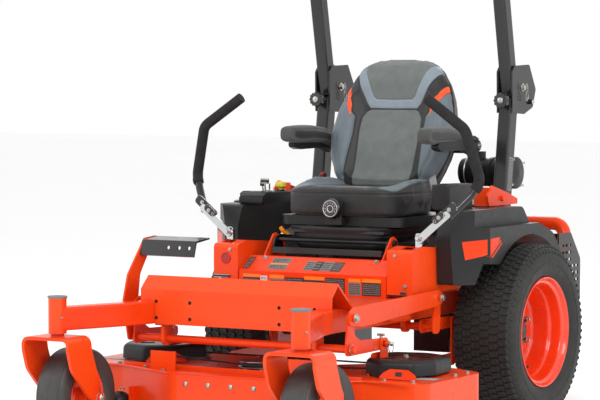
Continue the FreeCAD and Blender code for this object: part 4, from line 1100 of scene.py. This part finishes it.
def fender_decals():
    """Plain orange sweep on each fender side, without print."""
    for name, s in LEFT_RIGHT:
        b = Build()
        for outline in (
                [(-352, 590), (-344, 533), (-300, 545), (-238, 574), (-212, 600), (-258, 600)],
                [(-292, 545), (-284, 541), (-206, 588), (-213, 592)],
                [(-274, 540), (-268, 537), (-198, 580), (-204, 583)]):
            cast(b, [at(0, y, z) + Vector((s * 0.9, 0, 0)) for y, z in outline], (-s, 0, 0),
                 NODES["fender_" + name], "orange_paint")
        b.done("side_sweep_" + name, "chassis", "orange_paint", merge=False)


def cast(build, outline, direction, target, mat, cell=0.012, lift=0.0006):
    """Lay a flat outline on a node's surface: cut it into cells and drop each point along direction."""
    mesh = target.data
    tree = BVHTree.FromPolygons([v.co for v in mesh.vertices], [p.vertices for p in mesh.polygons])
    bm = bmesh.new()
    bm.faces.new([bm.verts.new(p) for p in outline])
    low = [min(p[i] for p in outline) for i in range(3)]
    high = [max(p[i] for p in outline) for i in range(3)]
    for i in range(3):
        count = int((high[i] - low[i]) / cell)
        for k in range(1, count + 1):
            point, normal = Vector((0, 0, 0)), Vector((0, 0, 0))
            point[i], normal[i] = low[i] + k * cell, 1
            geom = bm.verts[:] + bm.edges[:] + bm.faces[:]
            bmesh.ops.bisect_plane(bm, geom=geom, plane_co=point, plane_no=normal)
    spots = []
    for vert in bm.verts:
        hit = tree.ray_cast(vert.co, Vector(direction))[0]
        spots.append(None if hit is None else hit - Vector(direction) * lift)
    index = {vert: i for i, vert in enumerate(bm.verts)}
    faces = [[index[v] for v in f.verts] for f in bm.faces
             if all(spots[index[v]] is not None for v in f.verts)]
    build.add([p or Vector((0, 0, 0)) for p in spots], faces, mat)
    bm.free()
    loose = [v for v in build.bm.verts if not v.link_faces]
    bmesh.ops.delete(build.bm, geom=loose, context="VERTS")


panel_labels()
box_details()
beam_details()
for name, s in LEFT_RIGHT:
    caster_fork_details(name, s)
rops_details()
pod_details()
yellow_handle()
fender_decals()


# ---------------------------------------------------------------- seat frame and controls

def bent(points, radius, steps=6):
    """Line through points with its inner corners rounded."""
    pts = [Vector(p) for p in points]
    out = [pts[0]]
    for a, p, b in zip(pts, pts[1:], pts[2:]):
        half = (a - p).normalized().angle((b - p).normalized()) / 2
        out += corner(a, p, b, radius / math.tan(half), steps)
    return out + [pts[-1]]


def rings_between(build, rings, mat, closed=True):
    """Skin over rings of equal length, with both ends filled."""
    n = len(rings[0])
    verts = [p for ring in rings for p in ring]
    faces = [(k * n + i, k * n + (i + 1) % n, (k + 1) * n + (i + 1) % n, (k + 1) * n + i)
             for k in range(len(rings) - 1) for i in range(n)]
    if closed:
        faces += [tuple(range(n))[::-1], tuple(range((len(rings) - 1) * n, len(rings) * n))]
    build.add(verts, faces, mat)


SIDE = Matrix(((0, 0, 1, at(0, 0, 0).x), (1, 0, 0, at(0, 0, 0).y), (0, 1, 0, 0), (0, 0, 0, 1)))


def seat_shell():
    """Moulded rear of the backrest, its foot and the pins of the armrests."""
    b, rings = Build(), []
    for s in (0.006, 0.014, 0.04, 0.08, 0.12, 0.16, 0.20, 0.25, 0.30, 0.34, 0.375, 0.405, 0.425, 0.438):
        end = smooth_step(s, 0.39, 0.440)
        foot = 1 - smooth_step(s, 0.0, 0.03)
        half = table(BACK_HALF, s) - 0.014 - 0.010 * end - 0.008 * foot
        deep = 0.100 - 0.026 * smooth_step(s, 0.28, 0.43) - 0.016 * end
        front = [back_point(half * math.sin(math.pi / 2 * (i / 12 - 1)), s, -deep) for i in range(25)]
        rear = []
        for i in range(23, 0, -1):
            x = half * math.sin(math.pi / 2 * (i / 12 - 1))
            rib = 0.003 * smooth_step(abs(abs(x) - 0.07), 0.006, 0.012)
            rear.append(back_point(x, s, -deep - (0.020 + rib) * (1 - (x / half) ** 6) * (1 - 0.5 * end)))
        rings.append(front + rear)
    rings_between(b, rings, "black_plastic")
    b.slab(rounded([mm(40, 630), mm(62, 630), mm(62, 700), mm(58, 800), mm(46, 800), mm(38, 757),
                    mm(40, 700)], 0.005), -0.108, 0.108, SIDE, "black_plastic", 0.003)
    for s in (-1, 1):
        b.block(at(s * 196, 82, 875), mm(86, 11, 46), "black_plastic", (0, 0, 1), 0, 0.003, 0.003)
        b.slab(rounded([mm(87, 852), mm(50, 860), mm(50, 897), mm(87, 898)], 0.006),
               s * 0.238 - 0.0028, s * 0.238 + 0.0028, SIDE, "black_plastic", 0.001)
        b.lathe([(0, 0.0088), (0.050, 0.0088), (0.0505, 0.0002)], at(s * 236, 62, 878), (s, 0, 0),
                "steel", 24)
    b.done("seat_shell", "seat", "black_plastic", ["back_shell"])


def seat_skirt():
    """Folded boot between the tray and the pan."""
    b, rings = Build(), []
    for z, half, deep in ((0.552, 0.168, 0.170), (0.562, 0.176, 0.176), (0.570, 0.178, 0.178),
                          (0.577, 0.172, 0.172), (0.584, 0.178, 0.177), (0.594, 0.186, 0.183),
                          (0.600, 0.183, 0.181), (0.606, 0.187, 0.184), (0.616, 0.194, 0.187),
                          (0.622, 0.196, 0.188), (0.6258, 0.190, 0.184)):
        ring = []
        for i in range(96):
            turn = 2 * math.pi * i / 96
            c, s = math.cos(turn), math.sin(turn)
            ring.append(at(0, -196, 0) + Vector((half * math.copysign(abs(c) ** 0.36, c),
                                                 deep * math.copysign(abs(s) ** 0.36, s), z)))
        rings.append(ring)
    rings_between(b, rings, "bellows_rubber")
    place = b.done("seat_boot", "seat_base", "bellows_rubber", ["seat_bellows"], 60)
    place.parent = None
    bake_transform(place)


def seat_knob():
    """Dial on the cushion's front with two bright rings and plain ticks."""
    b = Build()
    centre = at(0, -390.2, 685)
    for profile, mat in (
            ([(0, 0.0330), (0.006, 0.0335), (0.016, 0.0315), (0.0195, 0.0290), (0.0200, 0.0268)],
             "gloss_black"),
            ([(0.0200, 0.0268), (0.0209, 0.0262), (0.0209, 0.0246), (0.0198, 0.0238)], "chrome"),
            ([(0.0198, 0.0238), (0.0190, 0.0125)], "gloss_black"),
            ([(0.0190, 0.0125), (0.0203, 0.0120), (0.0203, 0.0098), (0.0192, 0.0090)], "chrome"),
            ([(0.0192, 0.0090), (0.0188, 0.0002)], "gloss_black")):
        b.lathe(profile, centre, (0, -1, 0), mat, 56)
    for i in range(9):
        turn = math.radians(-120 + 30 * i)
        spot = centre + Vector((0.0182 * math.sin(turn), -0.0196, 0.0182 * math.cos(turn)))
        b.block(spot, (0.0014, 0.0046, 0.0006), "label_white", (0, -1, 0), -turn, 0, 0)
    b.done("setting_knob", "weight_knob", "black_plastic", ["weight_knob"])


def belt_buckle():
    """Receiver of the lap belt at the seat's right, reel at its left."""
    b = Build()
    for name, s in (("buckle", -1), ("reel", 1)):
        base = at(s * 212, -58, 652)
        stalk = [base, base + Vector((-s * 0.002, -0.02, 0.05)), base + Vector((-s * 0.006, -0.036, 0.095))]
        b.tube(stalk, 0.0035, "satin_black", 10, 5, flat=2.2)
        if name == "buckle":
            b.block(stalk[2] + Vector((0, -0.003, 0.014)), (0.016, 0.030, 0.040), "satin_black",
                    (0, -0.35, 1), 0, 0.004, 0.004)
            b.block(stalk[2] + Vector((0, -0.010, 0.034)), (0.012, 0.022, 0.007), "dark_red",
                    (0, -0.35, 1), 0, 0.002, 0.002)
        else:
            b.block(base + Vector((0.006, 0.005, 0.022)), (0.030, 0.060, 0.056), "satin_black",
                    (0, -0.3, 1), 0, 0.006, 0.008)
            b.block(stalk[2] + Vector((0, -0.004, 0.010)), (0.004, 0.044, 0.050), "label_silver",
                    (0, -0.35, 1), 0, 0.001, 0.006)
    b.done("lap_belt_ends", "seat", "black_plastic")


def lever(side, sign):
    """Bright flat bar from the pivot, drilled black end plate and bent tube."""
    b = Build()
    face = plane(at(0, -459.3, 0), (1, 0, 0), (0, 0, 1))

    def strip(ends, off, half, low, high, mat):
        (x0, z0), (x1, z1) = ends
        ahead = Vector((x1 - x0, z1 - z0)).normalized()
        side_way = Vector((-ahead.y, ahead.x))
        corners = [Vector(p) + side_way * (off + k * half) for p, k in
                   (((x0, z0), -1), ((x1, z1), -1), ((x1, z1), 1), ((x0, z0), 1))]
        b.slab(rounded([mm(sign * c.x, c.y) for c in corners], 0.010, 5), low, high, face, mat, 0.0008, 1)
    strip(((338, 597), (450, 690)), -5, 12, 0.0, 0.0057, "chrome")
    strip(((404, 650), (476, 708)), 4, 15, -0.005, -0.0002, "satin_black")
    strip(((404, 650), (440, 679)), 8, 11, 0.0058, 0.0098, "satin_black")
    ahead = Vector((72, 58)).normalized()
    for k, along in enumerate((8, 26, 46, 66)):
        spot = Vector((404, 650)) + ahead * along + Vector((-ahead.y, ahead.x)) * 6
        centre = at(sign * spot.x, -469.1 if along < 40 else -459.5, spot.y)
        if k % 2:
            b.bolt(centre, (0, -1, 0), 0.0052)
        else:
            b.lathe([(0.0004, 0.0052), (0.0002, 0.0036), (-0.003, 0.0034), (-0.003, 0.0002)], centre,
                    (0, -1, 0), "zinc", 20)
    b.lathe([(0, 0.011), (0.004, 0.011), (0.005, 0.010), (0.005, 0.0002)], at(sign * 349, -465, 606),
            (0, -1, 0), "zinc", 24)
    line = [at(sign * x, y, z) for x, y, z in ((446, -453, 670), (497, -403, 737), (520, -382, 781),
                                              (478, -404, 942), (398, -399, 1000))]
    b.tube(bent(line, 0.038), 0.0127, "black_paint", 20, 1)
    b.lathe([(0, 0.0150), (0.010, 0.0178), (0.020, 0.0176)], at(sign * 507, -394, 753),
            (sign * 13, 12, 25), "grip_foam", 28)
    b.done("stick_" + side, "lever_" + side, "steel", ["control_lever_" + side])


def filler_cap():
    """Ribbed fuel cap with its grip, and the bolted ring round the neck."""
    b = Build()
    centre = at(-431, -190, 688.5)
    b.lathe([(0, 0.0365), (0.004, 0.0365), (0.006, 0.0330), (0.010, 0.0270), (0.014, 0.0270),
             (0.015, 0.0345), (0.0165, 0.0365), (0.028, 0.0360), (0.0315, 0.0335), (0.0325, 0.0290),
             (0.0322, 0.0002)], centre, (0, 0, 1), "black_plastic", 60)
    for i in range(24):
        turn = 2 * math.pi * i / 24
        spot = centre + Vector((0.0364 * math.cos(turn), 0.0364 * math.sin(turn), 0.022))
        b.block(spot, (0.0022, 0.0040, 0.0110), "black_plastic", (0, 0, 1), turn, 0.0005, 0.0005)
    b.block(centre + Vector((0, 0, 0.0325)), (0.058, 0.012, 0.005), "black_plastic", (0, 0, 1), 0.5,
            0.002, 0.004)
    b.done("filler_cap", "fuel_cap", "black_plastic", ["fuel_cap"])
    ring = Build()
    ring.lathe([(0, 0.058), (0.0030, 0.058), (0.0045, 0.0565), (0.0045, 0.040)], at(-431, -190, 687),
               (0, 0, 1), "black_plastic", 60)
    for i in range(6):
        turn = 2 * math.pi * i / 6 + 0.3
        ring.bolt(at(-431, -190, 691.2) + Vector((0.049 * math.cos(turn), 0.049 * math.sin(turn), 0)),
                  (0, 0, 1), 0.0034, washer=False)
    ring.done("filler_ring", "chassis", "black_plastic")


def console():
    """Sloping control panel with lever slots, key switch and hour gauge, all without lettering."""
    b = Build()
    b.slab(rounded([mm(-330, 687.5), mm(-96, 687.5), mm(-96, 717), mm(-120, 722), mm(-300, 725),
                    mm(-326, 714)], 0.008), -0.393, -0.303, SIDE, "black_plastic", 0.006, 3)
    top = plane(at(-348, -200, 723.4), (1, 0, 0), (0, 180, -3))
    tag(b, top, mm(-36, -92, 36, 92), "satin_black", 0.0, 0.0022, 0.010)
    for x in (-14, 8):
        tag(b, top, mm(x, -78, x + 6, -14), "label_black", 0.0020, 0.0008, 0.003)
    b.lathe([(0.002, 0.014), (0.004, 0.0145), (0.005, 0.013), (0.005, 0.0002)],
            top @ Vector((-0.014, 0.014, 0)), (0, 0, 1), "chrome", 32)
    b.block(top @ Vector((-0.014, 0.014, 0.016)), (0.003, 0.016, 0.020), "satin_black", (0, 0, 1), 0.4, 0.001,
            0.002)
    b.lathe([(0.002, 0.0190), (0.006, 0.0190), (0.007, 0.0175), (0.0062, 0.0165), (0.0060, 0.0002)],
            top @ Vector((0.012, 0.038, 0)), (0, 0, 1), "gloss_black", 36)
    b.tube([top @ Vector((-0.011, -0.030, 0)), top @ Vector((-0.011, -0.036, 0.020))], 0.0025, "zinc", 8, 1)
    b.block(top @ Vector((-0.011, -0.037, 0.026)), (0.014, 0.010, 0.014), "satin_black", (0, 0, 1), 0, 0.003,
            0.003)
    b.done("control_panel", "chassis", "black_plastic", ["control_console"])
    b = Build()
    b.tube([at(-345, -240, 727), at(-345, -243, 752)], 0.003, "zinc", 10, 1)
    b.block(at(-345, -244, 760), mm(30, 13, 17), "satin_black", (0, 0, 1), 0, 0.004, 0.005)
    b.done("throttle_stick", "throttle_lever", "black_plastic", ["throttle_lever"])
    b = Build()
    centre = sum((Vector(c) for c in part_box("pto_switch")), Vector()) / 2
    centre.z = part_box("pto_switch")[0].z
    b.lathe([(0, 0.0085), (0.014, 0.0085), (0.015, 0.0150), (0.017, 0.0172), (0.026, 0.0172), (0.032, 0.0140),
             (0.034, 0.0070), (0.034, 0.0002)], centre, (0, 0, 1), "yellow_plastic", 36)
    b.done("blade_switch", "pto_switch", "red_plastic", ["pto_switch"])


def box_well_shade():
    """Painted shade: dark sheets inside the lever boxes under their slots; also a dark upright sheet below
    the seat.
    """
    b = Build()
    b.block(at(0, 12, 480), mm(470, 4, 128), "satin_black", (0, 0, 1), 0, 0.001, 0.01)
    for s in (-1, 1):
        # painted shade: dark sheets inside the lever boxes, just under their slots
        b.block(at(s * 325, -447, 556), mm(66, 120, 2), "label_black", (0, 0, 1), 0, 0.0, 0.004)
    b.done("box_well_shade", "chassis", "black_plastic")


# ---------------------------------------------------------------- deck, lift and engine details

def belt_guards():
    """Moulded covers over the belt with a stepped, bevelled top and latch tabs."""
    outline = [(300, -668, 20), (338, -770, 25), (348, -800, 12), (420, -848, 30), (520, -820, 30),
               (556, -740, 30), (540, -600, 40), (440, -560, 40), (330, -590, 30)]
    b = Build()
    for s in (-1, 1):
        points = rounded([(p[0] / 1000, p[1] / 1000, p[2] / 1000) for p in outline], 0.02, 5)
        mid = Vector((0.432, -0.700))
        rings = []
        for z, shrink in ((219.5, 1.0), (250, 0.992), (257, 0.975), (263, 0.93), (265.4, 0.875),
                          (265.4, 0.70), (262.6, 0.67)):
            ring = [mid + (Vector(p) - mid) * shrink for p in points]
            rings.append([at(s * p.x * 1000, p.y * 1000, z) for p in ring])
        rings_between(b, rings, "black_plastic")
        for turn in range(5):
            angle = 2 * math.pi * turn / 5 + 0.4
            b.block(at(s * (432 + 62 * math.cos(angle)), -700 + 62 * math.sin(angle), 263.6), mm(4, 46, 3),
                    "black_plastic", (0, 0, 1), angle * s + math.pi / 2, 0.001, 0.001)
        b.bolt(at(s * 432, -700, 262.8), (0, 0, 1), 0.008)
    b.done("belt_guards", "deck", "black_plastic", ["belt_covers"])
    b = Build()
    for s in (-1, 1):
        turn = (0.8, 0.6) if s < 0 else (1, 0)
        face = plane(at(*((-352, -822, 219) if s < 0 else (496, -866, 219))), (*turn, 0),
                     (-0.25 * turn[1], 0.25 * turn[0], 1))
        b.slab(rounded([mm(-68, -4), mm(68, -4), mm(52, 14), mm(30, 26), mm(-30, 26), mm(-52, 14)], 0.004),
               -0.0015, 0.0015, face, "orange_paint", 0.0006, 1)
        tag(b, face, mm(-11, 5, 11, 18), "label_black", 0.0014, 0.0006, 0.002)
        deck_top = plane(at(s * 556, -800, 213), (1, 0, 0), (0, 1, 0))
        tag(b, deck_top, mm(-38, -26, 38, 26), "label_grey", 0.0004, 0.0006, 0.003)
        bars(b, deck_top, mm(-34, -22, 34, 22), 6, "label_white", 0.0011, seed=3)
    b.done("deck_latches", "deck", "orange_paint")


def deck_fittings():
    """Carriage bolts, rim and spindle hardware of the cutting deck."""
    b = Build()
    for x in (-120, -40, 40, 120):
        b.lathe([(0, 0.0085), (0.003, 0.0075), (0.005, 0.0045), (0.0055, 0.0002)], at(x, -1068, 186),
                (0, -1, 0), "zinc", 20)
    for s in (-1, 1):
        for x, y in ((240, -1035), (330, -994), (470, -930), (560, -918), (585, -700), (585, -620)):
            b.bolt(at(s * x, y + 24, 213), (0, 0, 1), 0.0065)
        for x, y in ((60, -930), (95, -770)):
            b.bolt(at(s * x, y, 213), (0, 0, 1), 0.0065)
        for i in range(6):
            angle = math.pi / 3 * i + 0.2
            b.bolt(at(s * 405 + 52 * math.cos(angle), -715 + 52 * math.sin(angle), 219.2), (0, 0, 1), 0.006)
        b.bolt(at(s * 392, -1008, 146), (0, 0, 1), 0.007)
    for i in range(6):
        angle = math.pi / 3 * i + 0.2
        b.bolt(at(52 * math.cos(angle), -845 + 52 * math.sin(angle), 219.2), (0, 0, 1), 0.006)
    b.done("deck_bolts", "deck", "steel")
    b = Build()
    points = [at(x, y, 214) for x, y in ((-570, -948), (-430, -952), (-200, -1055), (0, -1062), (200, -1055),
                                         (430, -952), (570, -948))]
    b.tube(bent(points, 0.05, 4), 0.0035, "orange_paint", 8, 1)
    b.done("deck_rim", "deck", "orange_paint")


def roller_balls():
    """Barrel-shaped rollers in front of the deck."""
    b = Build()
    for s in (-1, 1):
        half = [(0.0, 0.0405), (0.010, 0.0395), (0.020, 0.0355), (0.027, 0.0290), (0.0315, 0.0200),
                (0.0318, 0.0083)]
        line = [(-a, r) for a, r in reversed(half)] + half[1:]
        fine = smooth_path([(a, r, 0) for a, r in line], 3)
        b.lathe([(p.x, p.y) for p in fine], at(s * 402, -1008, 100), (1, 0, 0), "black_plastic", 40)
    b.done("roller_balls", "gauge_rollers", "black_plastic", ["gauge_rollers"])


def pin_and_ring(b, spot, out):
    """Clevis pin end with a round hairpin."""
    b.lathe([(0, 0.0065), (0.016, 0.0065), (0.018, 0.0050), (0.018, 0.0002)], spot, (out, 0, 0), "zinc", 20)
    centre = spot + Vector((out * 0.013, -0.004, -0.012))
    circle = [centre + Vector((0, 0.014 * math.cos(a), 0.014 * math.sin(a)))
              for a in [2 * math.pi * i / 20 for i in range(21)]]
    b.tube(circle, 0.0014, "zinc", 8, 1)


def lift_fittings():
    """Pins, rings and bolts of the deck's lift, each on the body that holds it."""
    front, rear, links, hangers = Build(), Build(), Build(), Build()
    for s in (-1, 1):
        links.bolt(at(s * 392, -935, 397), (s, 0, 0), 0.0095)
        front.bolt(at(s * 384, -945, 305), (s, 0, 0), 0.0110)
        pin_and_ring(hangers, at(s * 392, -740, 305), s)
        hangers.tube([at(s * 375, -752, 314), at(s * 375, -752, 330)], 0.0050, "zinc", 12, 1)
        hangers.block(at(s * 375, -752, 332), mm(26, 9, 7), "zinc", (0, 0, 1), 0, 0.002, 0.003)
        rear.bolt(at(s * 392, -390, 417), (s, 0, 0), 0.0095)
    front.done("front_lift_pins", "front_lift", "steel")
    rear.done("rear_lift_pins", "rear_lift", "steel")
    links.done("link_pins", "link_bars", "steel")
    hangers.done("hanger_pins", "deck", "steel")


def engine_fittings():
    """Fins, bolts, oil filter, exhaust and silencer of the engine, and clamps on the air canister."""
    b = Build()
    low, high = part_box("air_cleaner")
    mid = (low + high) / 2

    def on_canister(x, angle, radius):
        return Vector((x, mid.y + radius * math.cos(angle), at(0, 0, 781).z + radius * math.sin(angle)))
    for x in (low.x + 0.030, high.x - 0.030):
        b.tube([on_canister(x, 2 * math.pi * i / 32, 0.0545) for i in range(33)], 0.0025, "zinc", 8, 1)
    for angle in (0.6, 2.2, 3.9, 5.4):
        b.block(on_canister(high.x - 0.010, angle, 0.056), mm(22, 8, 6), "zinc", (1, 0, 0), 0, 0.001, 0.002)
    for s in (-1, 1):
        for k in range(8):
            b.block(at(s * 166, 300 + 18 * k, 520), mm(26, 3, 62), "engine_metal", (0, 0, 1), 0, 0.0005,
                    0.001)
        b.bolt(at(s * 182, 362, 545), (s, 0, 0), 0.010)
    profile = [(0, 0.002), (0.0, 0.040), (0.006, 0.047), (0.120, 0.047), (0.126, 0.040), (0.126, 0.0002)]
    b.lathe(profile, at(190, 300, 560), (1, 0, 0), "engine_metal", 40)
    b.tube([at(176, 380, 548), at(215, 372, 545), at(250, 346, 548), at(262, 322, 556)], 0.013,
           "engine_metal", 14, 5)
    b.tube([at(306, 300, 560), at(330, 304, 560), at(340, 330, 556), at(340, 362, 548)], 0.014,
           "engine_metal", 14, 5)
    b.lathe([(0, 0.034), (0.070, 0.034), (0.078, 0.028), (0.080, 0.0002)], at(-165, 420, 470), (-1, 0, 0),
            "gloss_black", 36)
    b.done("engine_fittings", "chassis", "engine_metal")


def bevels():
    """Rounded edges on the folded and moulded CAD parts."""
    for name, width in (("lever_boxes", 2.0), ("floor_pan", 0.8), ("front_beam", 1.0), ("caster_arms", 2.0),
                        ("rops_posts", 1.6), ("rops_hoop", 1.6), ("rops_brackets", 1.2), ("fender_left", 5.0),
                        ("fender_right", 5.0), ("caster_fork_left", 1.6), ("caster_fork_right", 1.6),
                        ("frame_rails", 1.6), ("deck_shell", 1.2), ("front_lift", 0.9), ("rear_lift", 0.9),
                        ("link_bars", 0.9), ("deck_hangers", 0.7), ("lift_pedal", 0.6), ("seat_pan", 3.0),
                        ("seat_platform", 1.0), ("engine_block", 2.5), ("rear_guard", 0.6),
                        ("suspension_top", 1.0), ("transaxles", 2.5), ("discharge_chute", 1.5)):
        bevel = NODES[name].modifiers.new("bevel", "BEVEL")
        bevel.width, bevel.segments, bevel.limit_method = width / 1000, 2, "ANGLE"
        bevel.angle_limit = math.radians(35)
        bevel.harden_normals = True


seat_shell()
seat_skirt()
seat_knob()
belt_buckle()
for name, s in LEFT_RIGHT:
    lever(name, s)
filler_cap()
console()
box_well_shade()
belt_guards()
deck_fittings()
roller_balls()
lift_fittings()
engine_fittings()
bevels()


# ---------------------------------------------------------------- floor

def floor():
    mesh = bpy.data.meshes.new("floor")
    mesh.from_pydata([(-30, -30, 0), (30, -30, 0), (30, 30, 0), (-30, 30, 0)], [], [(0, 1, 2, 3)])
    obj = bpy.data.objects.new("floor", mesh)
    bpy.context.scene.collection.objects.link(obj)
    surface("floor_white", (0.97, 0.97, 0.97), (0.95, 0.95, 0.95), rough=(0.7, 0.8), mottle=0.4,
            grain=(60, 0.02))
    paint(obj, "floor_white")


floor()
